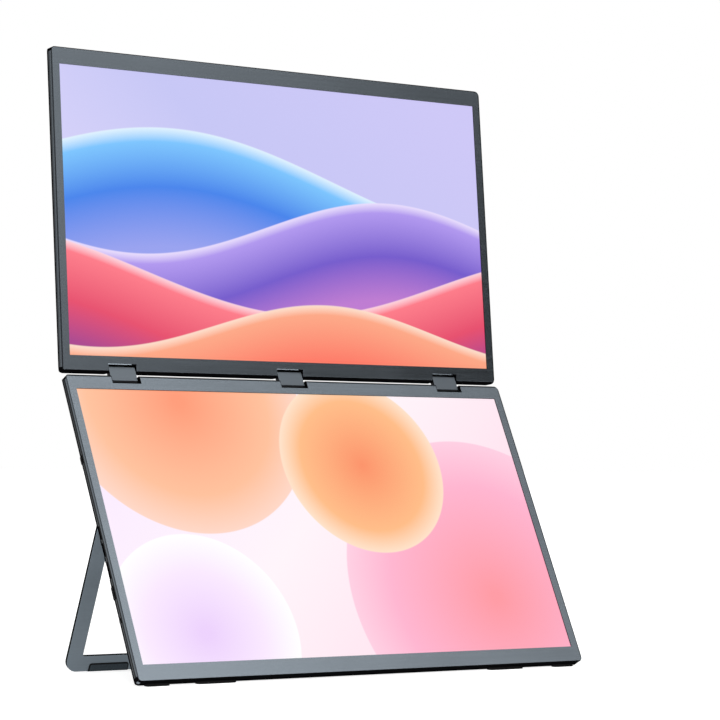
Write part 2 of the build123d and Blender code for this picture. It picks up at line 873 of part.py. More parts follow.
power_switch_front = flange_front + flange_thickness + power_travel + switch_gap
with BuildPart() as power_switch:
    with BuildSketch(left_wall.offset(power_switch_front)):
        board_switch(power_place)
    extrude(amount=switch_size)
save(power_switch.part, "power_switch")

# Menu rocker on its pivot pin, with a switch under either end
menu_pivot_x = -half_width + menu_pivot_inset
menu_flange_front = side_wall + menu_flange_gap
menu_switch_front = menu_flange_front + flange_thickness + menu_switch_gap
with BuildPart() as menu_rocker:
    with BuildSketch(left_wall):
        wall_slot(menu_place, menu_length, menu_width, control_depth)
    extrude(amount=menu_flange_front)
    with BuildSketch(left_wall.offset(menu_flange_front)):
        wall_slot(menu_place, menu_length + 2 * flange_overlap, flange_width, control_depth)
    extrude(amount=flange_thickness)
    barrel_front = control_depth - flange_width / 2
    with BuildSketch(lower.frame.offset(barrel_front)):
        with Locations((menu_pivot_x, menu_place)):
            Circle(menu_barrel_radius)
        neck = menu_barrel_radius * neck_share
        neck_start = -half_width + menu_flange_front
        area(neck_start, menu_pivot_x, menu_place - neck, menu_place + neck)
        with Locations((menu_pivot_x, menu_place)):
            Circle(menu_pin_radius + running_gap, mode=Mode.SUBTRACT)
    extrude(amount=flange_width)
save(menu_rocker.part, "menu_rocker")

with BuildPart() as menu_pin:
    with BuildSketch(lower.frame.offset(board_back)):
        with Locations((menu_pivot_x, menu_place)):
            Circle(menu_pin_radius)
    extrude(amount=inner_depth - board_back)
save(menu_pin.part, "menu_rocker_pin")

with BuildPart() as menu_switches:
    with BuildSketch(left_wall.offset(menu_switch_front)):
        for side in (-1, 1):
            board_switch(menu_place + side * menu_length / 2)
    extrude(amount=switch_size)
save(menu_switches.part, "menu_switches")

with BuildPart() as status_light:
    with BuildSketch(left_wall):
        wall_slot(light_place, light_length, light_width, control_depth)
    extrude(amount=light_depth)
save(status_light.part, "status_light")


# Feet on the lower display's bottom edge, their soles in the ground plane
def foot(start, end):
    with BuildPart() as sole:
        with BuildSketch(across(lower.frame, start)):
            with BuildLine():
                Polyline(
                    (lower_height, foot_front),
                    (lower_height, foot_rear),
                    (lower_height + foot_heel, foot_rear),
                    (lower_height + foot_toe, foot_front),
                    close=True,
                )
            make_face()
        extrude(amount=end - start)
    return sole.part


save(foot(-outer_foot_to, -outer_foot_from), "front_foot_outer_left")
save(foot(inner_feet_shift - inner_foot_to, inner_feet_shift - inner_foot_from), "front_foot_inner_left")
save(foot(inner_feet_shift + inner_foot_from, inner_feet_shift + inner_foot_to), "front_foot_inner_right")
save(foot(outer_foot_from, outer_foot_to), "front_foot_outer_right")


def pad_face(sign, depth, thickness):
    """Face of a stand pad: its upper corners are round and its lower edge lies on the stand's edge."""
    first, last = sorted((sign * pad_from, sign * pad_to))
    with BuildPart() as block:
        with BuildSketch(stand_frame.offset(depth)) as face:
            area(first, last, stand_length - pad_height, stand_length)
            fillet(face.vertices().group_by(Axis.Y)[0], pad_corner_radius)
        extrude(amount=thickness)
    return block.part


# Stand frame: a plate with a window, barrels rolled on its top edge, and rebates for its pads
pad_rebates = [pad_face(sign, plate_inner, pad_rebate) for sign in side_signs.values()]
with BuildPart() as kickstand_frame:
    with BuildSketch(stand_frame.offset(plate_inner)) as plate:
        area(-stand_half, stand_half, stand_top_edge, stand_length)
        fillet(plate.vertices().group_by(Axis.Y)[-1], stand_corner_radius)
        with BuildSketch(mode=Mode.PRIVATE) as window:
            area(-stand_window_half, stand_window_half, stand_window_top, stand_window_bottom)
            fillet(window.vertices(), stand_window_radius)
        add(window.sketch, mode=Mode.SUBTRACT)
        for side in (-1, 1):
            middle = side * stand_hinge_offset
            cut_end = stand_barrel_radius + stand_barrel_gap
            area(middle - leaf_half, middle + leaf_half, 0, cut_end, mode=Mode.SUBTRACT)
    extrude(amount=stand_thickness)
    for side in (-1, 1):
        with BuildSketch(across(stand_frame, side * stand_hinge_offset)):
            Circle(stand_barrel_radius)
            area(0, stand_barrel_radius + stand_strip / 2, plate_inner, plate_outer)
            Circle(stand_pin_radius + running_gap, mode=Mode.SUBTRACT)
        extrude(amount=stand_barrel_length / 2, both=True)
    add(pad_rebates, mode=Mode.SUBTRACT)
save(kickstand_frame.part, "kickstand_frame")

# Stand pads: a proud face in the rebate and a lip under the stand's edge, cut off by the ground
for side, sign in side_signs.items():
    middle = sign * (pad_from + pad_to) / 2
    heel = stand_length + pad_lip
    toe = heel - (stand_thickness + pad_proud) * tan(stand_tilt)
    face = pad_face(sign, plate_inner - pad_proud, pad_proud + pad_rebate)
    with BuildPart() as pad:
        add(face)
        with BuildSketch(across(stand_frame, middle)):
            with BuildLine():
                Polyline(
                    (stand_length, plate_inner - pad_proud),
                    (stand_length, plate_outer),
                    (heel, plate_outer),
                    (toe, plate_inner - pad_proud),
                    close=True,
                )
            make_face()
        extrude(amount=(pad_to - pad_from) / 2, both=True)
    save(pad.part, f"kickstand_pad_{side}")

# Fixed leaf of each stand hinge, with its knuckles on either side of the stand's barrel, and the pin
for side, sign in side_signs.items():
    middle = sign * stand_hinge_offset
    hinge_frame = tilted_plane(point_on(lower.frame, stand_pivot_place, stand_pivot_depth), lower_lean)
    leaf_inner = stand_barrel_radius - leaf_thickness
    screw_points = [(middle + end * leaf_screw_spacing / 2, -leaf_screw_place) for end in (-1, 1)]
    with BuildPart() as leaf:
        with BuildSketch(hinge_frame.offset(leaf_inner)):
            leaf_end = -stand_barrel_radius - stand_barrel_gap
            area(middle - leaf_half, middle + leaf_half, -leaf_length, leaf_end)
            with Locations(*screw_points):
                Circle(screw_radius + screw_gap, mode=Mode.SUBTRACT)
        extrude(amount=leaf_thickness)
        for end in (-1, 1):
            knuckle = middle + end * (leaf_half - stand_knuckle_length / 2)
            with BuildSketch(across(hinge_frame, knuckle)):
                Circle(stand_barrel_radius)
                area(-leaf_length / 2, 0, leaf_inner, stand_barrel_radius)
                Circle(stand_pin_radius, mode=Mode.SUBTRACT)
            extrude(amount=stand_knuckle_length / 2, both=True)
        with BuildSketch(hinge_frame.offset(leaf_inner + leaf_thickness - screw_head_height)):
            with Locations(*screw_points):
                Circle(screw_head_radius + screw_gap)
        extrude(amount=leaf_thickness, mode=Mode.SUBTRACT)
    save(leaf.part, f"stand_hinge_leaf_{side}")
    with BuildPart() as pin:
        with BuildSketch(across(hinge_frame, middle)):
            Circle(stand_pin_radius)
        extrude(amount=leaf_half, both=True)
    save(pin.part, f"stand_hinge_pin_{side}")

# Leaf screws, driven to the front with their heads flush in the leaves
head_seat = stand_pivot_depth + stand_barrel_radius - screw_head_height
leaf_shanks = shanks(lower, leaf_screw_points, leaf_screw_tip, head_seat, 0)
with BuildPart() as leaf_screws:
    with BuildSketch(lower.frame.offset(head_seat)):
        with Locations(*leaf_screw_points):
            Circle(screw_head_radius)
    extrude(amount=screw_head_height)
    add(leaf_shanks)
save(leaf_screws.part, "stand_leaf_screws")

# Joint axes and soles, for the record
for label, place in (
    ("lower axle", point_on(lower.frame, lower_axle_inset, lower_axle_depth)),
    ("upper axle", point_on(upper.frame, upper_axle_inset, upper_axle_depth)),
    ("stand pivot", stand_frame.origin),
    ("power button", lower.frame.from_local_coords(Vector(-half_width, power_place, control_depth))),
    ("menu pivot", lower.frame.from_local_coords(Vector(menu_pivot_x, menu_place, control_depth))),
    ("front sole", point_on(lower.frame, lower_height + foot_heel, foot_rear)),
    ("stand sole", point_on(stand_frame, stand_length + pad_lip, plate_outer)),
):
    print(f"{label}: {place.X:.3f} {place.Y:.3f} {place.Z:.3f}")
print(f"stand length {stand_length:.2f}, closed end {stand_pivot_place + stand_length:.2f}")
print("port places", *(f"{place:.3f}" for place in (*usb_places, hdmi_place)), f"at depth {port_depth:.3f}")
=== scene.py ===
import json
from functools import reduce
from math import cos, pi, radians, sin, tan
from typing import NamedTuple

import bpy
import numpy as np
from bpy.props import FloatProperty, FloatVectorProperty, PointerProperty
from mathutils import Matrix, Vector


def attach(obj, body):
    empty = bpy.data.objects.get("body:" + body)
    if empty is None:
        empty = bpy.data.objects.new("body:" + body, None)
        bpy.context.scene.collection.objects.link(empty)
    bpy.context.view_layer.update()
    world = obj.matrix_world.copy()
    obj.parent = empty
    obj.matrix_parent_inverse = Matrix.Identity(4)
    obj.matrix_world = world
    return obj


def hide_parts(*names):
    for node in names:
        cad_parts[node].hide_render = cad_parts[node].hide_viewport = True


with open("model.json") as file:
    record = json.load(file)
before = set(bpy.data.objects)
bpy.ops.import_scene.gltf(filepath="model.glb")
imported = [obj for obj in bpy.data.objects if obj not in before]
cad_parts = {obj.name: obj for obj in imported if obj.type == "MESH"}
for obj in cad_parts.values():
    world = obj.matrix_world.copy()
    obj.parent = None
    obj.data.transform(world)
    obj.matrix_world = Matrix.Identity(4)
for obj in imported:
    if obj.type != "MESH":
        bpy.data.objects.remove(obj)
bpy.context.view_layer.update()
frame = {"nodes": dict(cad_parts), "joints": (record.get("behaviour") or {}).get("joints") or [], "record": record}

bl_info = {
    "name": "Dual Portable Monitor",
    "version": (1, 0, 0),
    "blender": (4, 5, 0),
    "location": "View3D > Sidebar > Monitor",
    "description": "Dresses a folding pair of displays on a kickstand",
    "category": "Object",
}

JOINTS = {joint["name"]: joint for joint in frame["joints"]}
SLOTS = {part["node"]: part["material_slot"] for part in frame["record"]["subparts"]}
NODES = frame["nodes"]
MM = 0.001


class Tilt:
    """Frame of a leaning piece: x across it, y along it from its origin, z through it to the back."""

    def __init__(self, origin, lean, downward=True):
        turn = radians(lean)
        self.origin = np.array(origin, float)
        self.rotation = (radians(90 - lean), 0, 0)
        self.way = -1 if downward else 1
        self.x = np.array((1.0, 0.0, 0.0))
        self.y = np.array((0.0, sin(turn), cos(turn))) * self.way
        self.z = np.array((0.0, cos(turn), -sin(turn)))

    def place(self, x, y, z):
        """Points origin + x * across + y * along + z * back, for arrays of local coordinates in metres."""
        x, y, z = np.broadcast_arrays(x, y, z)
        return self.origin + x[..., None] * self.x + y[..., None] * self.y + z[..., None] * self.z


def display_tilt(joint, lean, axle, downward):
    """Frame at the front of a display's hinge edge.

    It is found from the axle, which has an inset from the edge and a depth behind the front.
    """
    inset, depth = axle
    hinge = Tilt(JOINTS[joint]["pos_m"], lean, downward)
    return Tilt(hinge.place(0.0, -inset, -depth), lean, downward)


# Leans back from upright in degrees, and the axles' insets and depths
LOWER_LEAN, LOWER_AXLE = 27.6, (3.2 * MM, 4.0 * MM)
UPPER_LEAN, UPPER_AXLE = 6.3, (3.5 * MM, 3.25 * MM)
STAND_LEAN = -22.8

LOWER = display_tilt("links_fold", LOWER_LEAN, LOWER_AXLE, True)
UPPER = display_tilt("upper_fold", UPPER_LEAN, UPPER_AXLE, False)
STAND = Tilt(JOINTS["stand_swing"]["pos_m"], STAND_LEAN)

# Displays, their screens and their hinge notches
HALF_WIDTH = 178.58 * MM
THICKNESS = 8.0 * MM
LOWER_HEIGHT = 215.59 * MM
UPPER_HEIGHT = 216.69 * MM
CORNER = 4.0 * MM
SCREEN_HEIGHT = 193.59 * MM
LOWER_MARGIN = 10.6 * MM
UPPER_MARGIN = 11.5 * MM
LINK_SPACING = 132.98 * MM
NOTCH_HALF = 10.6 * MM

# Feet, as places along and depths in the lower display and spans to either side of its middle
FOOT_ROOT = 0.3 * MM
FOOT_FRONT, FOOT_MIDDLE, FOOT_BACK = 3.2 * MM, 4.8 * MM, 6.4 * MM
FOOT_OUTER = (154.28 * MM, 171.28 * MM)
FOOT_INNER = (101.58 * MM, 130.58 * MM)
FOOT_INNER_SHIFT = -3.5 * MM
FOOT_POWER = 10

# Hinge strips of black rubber, placed as painted shade in the notch gaps, as half lengths and as spans along and
# through the display that gives their frame
NOTCH_STRIP_HALF, NOTCH_STRIP_ALONG, NOTCH_STRIP_DEPTH = 10.5 * MM, (4.6 * MM, 5.95 * MM), (6.3 * MM, 7.3 * MM)
LINK_STRIP_HALF, LINK_STRIP_ALONG, LINK_STRIP_DEPTH = 9.9 * MM, (4.6 * MM, 5.4 * MM), (3.4 * MM, 4.6 * MM)
STRIP_POWER = 24

# Stand and its pads, which wrap round the bottom edge of the plate
STAND_LENGTH = 122.15 * MM
PLATE_FRONT, PLATE_BACK = -0.45 * MM, 1.45 * MM
PAD_CENTRE = 135.78 * MM
PAD_HALF = 15.0 * MM
PAD_HEIGHT = 5.6 * MM
PAD_CORNER = 2.0 * MM
PAD_FRONT, PAD_INSIDE, PAD_BACK = -1.0 * MM, 0.2 * MM, 1.6 * MM
PAD_LIP = 1.2 * MM
PAD_ELBOW = (0.05 * MM, -0.2 * MM)
PAD_ROUNDING = 0.08 * MM
PAD_POWER = 24

# Screws of the stand's leaves
LEAF_SHARE = 0.4111
LEAF_SCREW_DROP = 8.0 * MM
LEAF_SPACING = 117.98 * MM
LEAF_SCREW_REACH = 12.0 * MM
SCREW_SEAT, SCREW_TOP, SCREW_RADIUS = 7.2 * MM, 7.9 * MM, 1.8 * MM

# Cases' finishes: the way over which one gives way to the next, how deep the walls' bands of painted highlight and
# shade go in from the sides, and where the black painted shade at the ports lies
SOFT = 0.1 * MM
BEZEL_WALL = 1.25 * MM
SHELL_WALL = 0.45 * MM
PORT_WALL = 0.35 * MM
PORT_FRONT = 2.1 * MM
PORT_SOFT = 0.2 * MM

# Black painted shade on edges, in notches and in gaps, as depths behind the front or places from the hinge edge,
# from a notch's end or in from the sides
FACE_BACK, FACE_SOFT = 0.02 * MM, 0.03 * MM
CORNER_SOFT = 0.8 * MM
NOTCH_BESIDE = 0.3 * MM
NOTCH_END = 0.1 * MM
SILL_SHADOW_END = 6.1 * MM
HINGE_SHADE_LINE, HINGE_SHADE_LINE_SOFT, HINGE_SHADE_LINE_DARK = 1.5 * MM, 0.2 * MM, 0.85
SHELL_END_DEPTH = 6.3 * MM
REAR_BEVEL = 2.6 * MM
COVER_FRONT, COVER_BACK = 2.0 * MM, 12.0 * MM

# Painted light: a highlight over an upper notch, a glint on the corners that the lower display stands on and a
# paler top of the stand
NOTCH_HIGHLIGHT_PLACE, NOTCH_HIGHLIGHT_HALF, NOTCH_HIGHLIGHT_SHARE = 0.25 * MM, 0.3 * MM, 4.2
NOTCH_HIGHLIGHT_STOP, NOTCH_HIGHLIGHT_STOP_SOFT = 6.6 * MM, 0.3 * MM
GLINT_SIDE, GLINT_SOFT, GLINT_SHARE = 3.0 * MM, 0.4 * MM, 1.0
GLINT_RISE, GLINT_RISE_HALF = 0.7 * MM, 0.5 * MM
GLINT_DEPTH, GLINT_DEPTH_HALF = 3.2 * MM, 1.1 * MM
STAND_LIGHT_FROM, STAND_LIGHT_TO, STAND_LIGHT_SHARE = 10.0 * MM, 60.0 * MM, 2.1

# Finishes that several pieces share
# Black of the painted shade on the cases and pads, and the buttons' own black plastic
SHADE_AND_BUTTON_BLACK = (0.003, 0.003, 0.0035, 1.0)
STEEL_BLACK, STEEL_ROUGHNESS = (0.020, 0.020, 0.022), 0.42
STREAK_SIZE = (60.0 * MM, 0.4 * MM, 0.4 * MM)
STEEL_STREAK_SIZE = (20.0 * MM, 0.3 * MM, 0.3 * MM)


class Display(NamedTuple):
    """One display: its frame, its height, how far its notches reach from the hinge edge, and the light and shade
    painted on its walls.

    The walls are black, as painted shade, from the rear depth on. A band is a depth in millimetres and the share
    of the bezel's colour there; the bands are painted highlight and shade, with a dark seam line among them. An
    opening is a control's or port's distance from the hinge edge and its half length, in millimetres, where black
    painted shade lies.
    """

    name: str
    tilt: Tilt
    height: float
    notch: float
    rear: float
    light_and_shade_bands: tuple
    openings: tuple

    @property
    def stands(self):
        """Whether the display runs down from the hinge, and so stands on its far edge."""
        return self.tilt.way < 0


DISPLAYS = (
    Display(
        "lower", LOWER, LOWER_HEIGHT, 5.6 * MM, 3.4 * MM,
        # Bands of painted highlight and shade on the walls, with a dark seam line among them
        ((0.0, 0.22), (0.1, 0.22), (0.3, 0.36), (0.5, 0.36), (0.6, 0.6), (0.8, 0.6), (0.9, 0.02), (2.2, 0.02),
         (2.3, 0.18), (3.3, 0.18), (3.4, 0.02)),
        ((60.8, 2.8), (112.8, 4.6), (124.7, 4.6), (138.8, 5.7), (154.0, 4.6), (173.2, 1.6)),
    ),
    Display(
        "upper", UPPER, UPPER_HEIGHT, 5.95 * MM, 3.0 * MM,
        # The upper's bands are paler: painted light on a wall that takes less reflection
        ((0.0, 0.22), (0.1, 0.22), (0.3, 0.9), (1.3, 0.9), (1.4, 0.38), (3.0, 0.38), (3.1, 0.02)),
        (),
    ),
)


class Nodes:
    """Node tree under construction, with short calls for the nodes that the finishes share."""

    def __init__(self, tree):
        self.tree = tree

    def put(self, socket, value):
        """Link a socket, or set it to a plain value."""
        if isinstance(value, bpy.types.NodeSocket):
            self.tree.links.new(value, socket)
        else:
            socket.default_value = value

    def node(self, kind, sockets=(), **settings):
        """New node with its settings, and with pairs of a socket and its value put in."""
        made = self.tree.nodes.new(kind)
        for key, value in settings.items():
            setattr(made, key, value)
        for key, value in sockets:
            self.put(made.inputs[key], value)
        return made

    def math(self, operation, *values):
        return self.node("ShaderNodeMath", enumerate(values), operation=operation).outputs[0]

    def both(self, *masks):
        """Product of masks: 1 where all are 1."""
        return reduce(lambda first, second: self.math("MULTIPLY", first, second), masks)

    def either(self, *masks):
        """Greatest of masks: 1 where any is 1."""
        return reduce(lambda first, second: self.math("MAXIMUM", first, second), masks)

    def outside(self, mask):
        return self.math("SUBTRACT", 1.0, mask)

    def hypot(self, first, second):
        """Root of the sum of two squares."""
        squares = self.math("MULTIPLY_ADD", second, second, self.math("MULTIPLY", first, first))
        return self.math("SQRT", squares)

    def span(self, value, low, high, start=0.0, end=1.0, smooth=True):
        """Value carried from low..high to start..end, held at the ends."""
        sockets = (("Value", value), ("From Min", low), ("From Max", high), ("To Min", start), ("To Max", end))
        kind = "SMOOTHSTEP" if smooth else "LINEAR"
        return self.node("ShaderNodeMapRange", sockets, interpolation_type=kind, clamp=True).outputs[0]

    def past(self, value, place, soft=SOFT):
        """0 up to a place and 1 past it."""
        return self.span(value, place, place + soft)

    def before(self, value, place, soft=SOFT):
        """1 up to a place and 0 past it."""
        return self.span(value, place, place + soft, 1.0, 0.0)

    def parts(self, vector):
        return self.node("ShaderNodeSeparateXYZ", [("Vector", vector)]).outputs


class Finish(Nodes):
    """Node material of one finish."""

    def __init__(self, name):
        self.material = bpy.data.materials.new(name)
        self.material.use_nodes = True
        super().__init__(self.material.node_tree)
        self.shader = self.tree.nodes["Principled BSDF"]

    def surface(self, **values):
        """Material with its Principled inputs put in by name, with underscores for spaces."""
        for key, value in values.items():
            self.put(self.shader.inputs[key.replace("_", " ")], value)
        return self.material

    def blend(self, factor, first, second):
        """Colour mixed from first to second."""
        made = self.node("ShaderNodeMix", data_type="RGBA")
        sockets = {socket.identifier: socket for socket in made.inputs}
        for key, value in (("Factor_Float", factor), ("A_Color", first), ("B_Color", second)):
            self.put(sockets[key], value)
        return next(socket for socket in made.outputs if socket.identifier == "Result_Color")

    def ramp(self, value, stops):
        """Colours along 0..1, each stop a place and a colour."""
        made = self.node("ShaderNodeValToRGB", [("Fac", value)])
        elements = made.color_ramp.elements
        for index, (place, colour) in enumerate(stops):
            element = elements[index] if index < len(elements) else elements.new(1.0)
            element.position = place
            element.color = colour
        return made.outputs["Color"]

    def shades(self, value, colour, *stops):
        """Shades of a colour along 0..1, each stop a place and a share of the colour's brightness."""
        return self.ramp(value, [(place, shade(colour, share)) for place, share in stops])

    def place(self, location=(0, 0, 0), rotation=(0, 0, 0), scale=(1, 1, 1)):
        """Object coordinates seen from a frame at location, turned and scaled."""
        own = self.node("ShaderNodeTexCoord").outputs["Object"]
        sockets = (("Location", location), ("Rotation", rotation), ("Scale", scale), ("Vector", own))
        return self.node("ShaderNodeMapping", sockets, vector_type="TEXTURE").outputs["Vector"]

    def noise(self, vector, scale, detail=2.0):
        sockets = (("Vector", vector), ("Scale", scale), ("Detail", detail), ("Roughness", 0.5))
        return self.node("ShaderNodeTexNoise", sockets).outputs["Fac"]

    def bump(self, height, strength, distance=0.1 * MM):
        sockets = (("Height", height), ("Strength", strength), ("Distance", distance))
        return self.node("ShaderNodeBump", sockets).outputs["Normal"]


def shade(colour, factor):
    """Colour with its brightness times factor, opaque."""
    return (*(min(1.0, channel * factor) for channel in colour[:3]), 1.0)


def tones(stops):
    """Stops of a place and a screen colour in 0..255, with each colour made linear."""
    def linear(colour):
        encoded = np.array(colour) / 255.0
        decoded = np.where(encoded <= 0.04045, encoded / 12.92, ((encoded + 0.055) / 1.055) ** 2.4)
        return (*map(float, decoded), 1.0)

    return [(place, linear(colour)) for place, colour in stops]


def piece_parts(finish, tilt):
    """Places on a leaning piece: across it, along it from its origin, and the depth behind its front."""
    across, upward, ahead = finish.parts(finish.place(tuple(tilt.origin), tilt.rotation))
    return across, finish.math("MULTIPLY", upward, tilt.way), finish.math("MULTIPLY", ahead, -1.0)


def side_wall_shading(finish, display, across, depth, colour, tint, wall):
    """1 on a display's side walls, and the tint with the display's bands on them: painted highlight and shade,
    with a dark seam line.
    """
    side = finish.past(finish.math("ABSOLUTE", across), HALF_WIDTH - wall)
    stops = ((mm * MM / THICKNESS, share) for mm, share in display.light_and_shade_bands)
    # Painted highlight and shade in bands through the wall's depth
    light_and_shade_bands = finish.shades(finish.span(depth, 0.0, THICKNESS, smooth=False), colour, *stops)
    return side, finish.blend(side, tint, light_and_shade_bands)


def notch_offset(finish, across):
    """Place across a display from the middle of the nearest hinge notch."""
    return finish.math("WRAP", across, LINK_SPACING / 2, -LINK_SPACING / 2)


def notch_reach(finish, across):
    """1 within the width of the hinge notches and just beside them, and 0 elsewhere."""
    return finish.before(finish.math("ABSOLUTE", notch_offset(finish, across)), NOTCH_HALF + NOTCH_BESIDE)


def near_ends(finish, display, away):
    """1 in the corners' reach of a display's hinge end and far end, and 0 between."""
    half = display.height / 2
    reach = finish.math("ABSOLUTE", finish.math("SUBTRACT", away, half))
    return finish.past(reach, half - CORNER, CORNER_SOFT)


def port_shade_patches(finish, display, across, away, depth):
    """1 on black painted shade at the controls and ports in a display's left wall, and 0 elsewhere."""
    shown = 0.0
    for place, half in display.openings:
        reach = finish.math("ABSOLUTE", finish.math("SUBTRACT", away, place * MM))
        shown = finish.either(shown, finish.before(reach, half * MM, PORT_SOFT))
    return finish.both(shown, finish.before(across, PORT_WALL - HALF_WIDTH), finish.past(depth, PORT_FRONT))


def bezel_light_and_shade(display, colour):
    """Light and shade painted on a front frame: painted highlight and shade in bands on the side walls, and black
    painted shade behind the face, on the edges and in the notches.

    The upper display's notches have a painted highlight along their top edge, which turns to black painted shade
    short of their right corner. The lower one's have a black painted shadow below the hinge covers, and a dark
    line of painted shade runs along its hinge edge.
    """
    def paint(finish, tint):
        across, away, depth = piece_parts(finish, display.tilt)
        side, tint = side_wall_shading(finish, display, across, depth, colour, tint, BEZEL_WALL)
        notch = notch_reach(finish, across)
        banded = finish.both(side, finish.outside(near_ends(finish, display, away)))
        # Black painted shade behind the face: on the edges, in the notches and in the gap between the displays
        behind = finish.both(finish.past(depth, FACE_BACK, FACE_SOFT), finish.outside(banded))
        if display.stands:
            # Black painted shadow in the lower notches and just below them, under the hinge covers
            sill_shadow = finish.both(notch, finish.before(away, SILL_SHADOW_END))
            # Dark line of painted shade along the lower display's hinge edge, under the gap
            line = finish.span(away, HINGE_SHADE_LINE, HINGE_SHADE_LINE + HINGE_SHADE_LINE_SOFT, HINGE_SHADE_LINE_DARK, 0.0)
            return tint, finish.either(behind, sill_shadow, line)
        # Painted highlight along the top edge of each upper notch; past its stop it turns to black painted shade
        painted_edge = finish.both(notch, finish.math("COMPARE", away, display.notch + NOTCH_HIGHLIGHT_PLACE, NOTCH_HIGHLIGHT_HALF))
        stop = finish.both(painted_edge, finish.past(notch_offset(finish, across), NOTCH_HIGHLIGHT_STOP, NOTCH_HIGHLIGHT_STOP_SOFT))
        return finish.blend(painted_edge, tint, shade(colour, NOTCH_HIGHLIGHT_SHARE)), finish.either(behind, stop)

    return paint


def shell_light_and_shade(display, colour):
    """Light and shade painted on a rear shell: painted highlight and shade in bands on the side walls, and black
    painted shade at the ends, in the notches and on the rear bevels.

    Black painted shade lies at the controls and ports too, and the corners that the lower display stands on carry
    a painted glint, a patch of the bezel's lighter colour.
    """
    def paint(finish, tint):
        across, away, depth = piece_parts(finish, display.tilt)
        aside = finish.math("ABSOLUTE", across)
        tint = side_wall_shading(finish, display, across, depth, colour, tint, SHELL_WALL)[1]
        # Black painted shade at the ends, in the notch walls and on the rear bevels
        end = finish.both(near_ends(finish, display, away), finish.before(depth, SHELL_END_DEPTH))
        well = finish.both(notch_reach(finish, across), finish.before(away, display.notch + NOTCH_END))
        bevel = finish.both(finish.past(aside, HALF_WIDTH - REAR_BEVEL), finish.past(depth, display.rear))
        black = finish.either(end, well, bevel, port_shade_patches(finish, display, across, away, depth))
        if not display.stands:
            return tint, black
        # Painted glint: a patch of the bezel's lighter colour, left metal, on the corners the lower display stands
        # on
        corner = finish.both(
            finish.past(aside, HALF_WIDTH - GLINT_SIDE, GLINT_SOFT),
            finish.math("COMPARE", away, display.height - GLINT_RISE, GLINT_RISE_HALF),
            finish.math("COMPARE", depth, GLINT_DEPTH, GLINT_DEPTH_HALF),
        )
        glint_tint = finish.blend(corner, tint, shade(colour, GLINT_SHARE))
        return glint_tint, finish.both(black, finish.outside(corner))

    return paint


def plate_edge_shade(tilt, front, back):
    """Black painted shade on the edges of a plate, between two depths."""
    def paint(finish, tint):
        depth = piece_parts(finish, tilt)[2]
        return tint, finish.both(finish.past(depth, front), finish.before(depth, back - SOFT))

    return paint


def stand_light_and_shade(colour):
    """Black painted shade on the edges of the stand's plate, and painted light on its front, paler towards the
    pivot.
    """
    painted_edge = plate_edge_shade(STAND, PLATE_FRONT, PLATE_BACK)

    def paint(finish, tint):
        _, away, depth = piece_parts(finish, STAND)
        # Painted light: the front is paler near the pivot, where it lies in shade
        front = finish.before(depth, PLATE_FRONT, SOFT / 2)
        near = finish.span(away, STAND_LIGHT_FROM, STAND_LIGHT_TO, 1.0, 0.0)
        return painted_edge(finish, finish.blend(finish.both(front, near), tint, shade(colour, STAND_LIGHT_SHARE)))

    return paint


def anodised(name, colour, roughness, tilt, painted_light, metal=1.0):
    """Satin anodised metal: fine streaks across the piece, slow clouds, a fine grain, and light and shade painted
    on its edges.
    """
    finish = Finish(name)
    streak = finish.noise(finish.place(rotation=tilt.rotation, scale=STREAK_SIZE), scale=1.0, detail=3.0)
    cloud = finish.noise(finish.place(), scale=14.0)
    grain = finish.noise(finish.place(), scale=5200.0, detail=1.0)
    mix = finish.math("ADD", finish.math("MULTIPLY", streak, 0.55), finish.math("MULTIPLY", cloud, 0.45))
    tint, black = painted_light(finish, finish.shades(mix, colour, (0.25, 0.90), (0.75, 1.10)))
    return finish.surface(
        # Where the mask is 1 the surface is black painted shade, with no metal to reflect
        Base_Color=finish.blend(black, tint, SHADE_AND_BUTTON_BLACK),
        Metallic=finish.math("MULTIPLY_ADD", black, -metal, metal),
        Roughness=finish.span(mix, 0.2, 0.8, roughness - 0.04, roughness + 0.04),
        Specular_IOR_Level=0.0,
        Normal=finish.bump(grain, 0.06),
    )


def steel(name, colour, roughness):
    """Rolled steel: streaks along the width, in colour and roughness."""
    finish = Finish(name)
    streak = finish.noise(finish.place(scale=STEEL_STREAK_SIZE), scale=1.0)
    return finish.surface(
        Base_Color=finish.shades(streak, colour, (0.3, 0.85), (0.7, 1.1)),
        Metallic=1.0,
        Roughness=finish.span(streak, 0.2, 0.8, roughness - 0.08, roughness + 0.08),
    )


def moulded(name, colour, roughness, grain=900.0, specular=0.4):
    """Moulded plastic or rubber: spark-eroded grain in colour, roughness and height."""
    finish = Finish(name)
    fine = finish.noise(finish.place(), grain, detail=3.0)
    return finish.surface(
        Base_Color=finish.shades(fine, colour, (0.3, 0.8), (0.7, 1.25)),
        Roughness=finish.span(fine, 0.3, 0.7, roughness - 0.06, roughness + 0.06),
        Specular_IOR_Level=specular,
        Normal=finish.bump(fine, 0.25),
    )


def black_rubber(colour):
    """Black rubber of the feet and hinge strips, made once."""
    name = "foot_rubber_black"
    return bpy.data.materials.get(name) or moulded(name, colour, 0.62, specular=0.12)


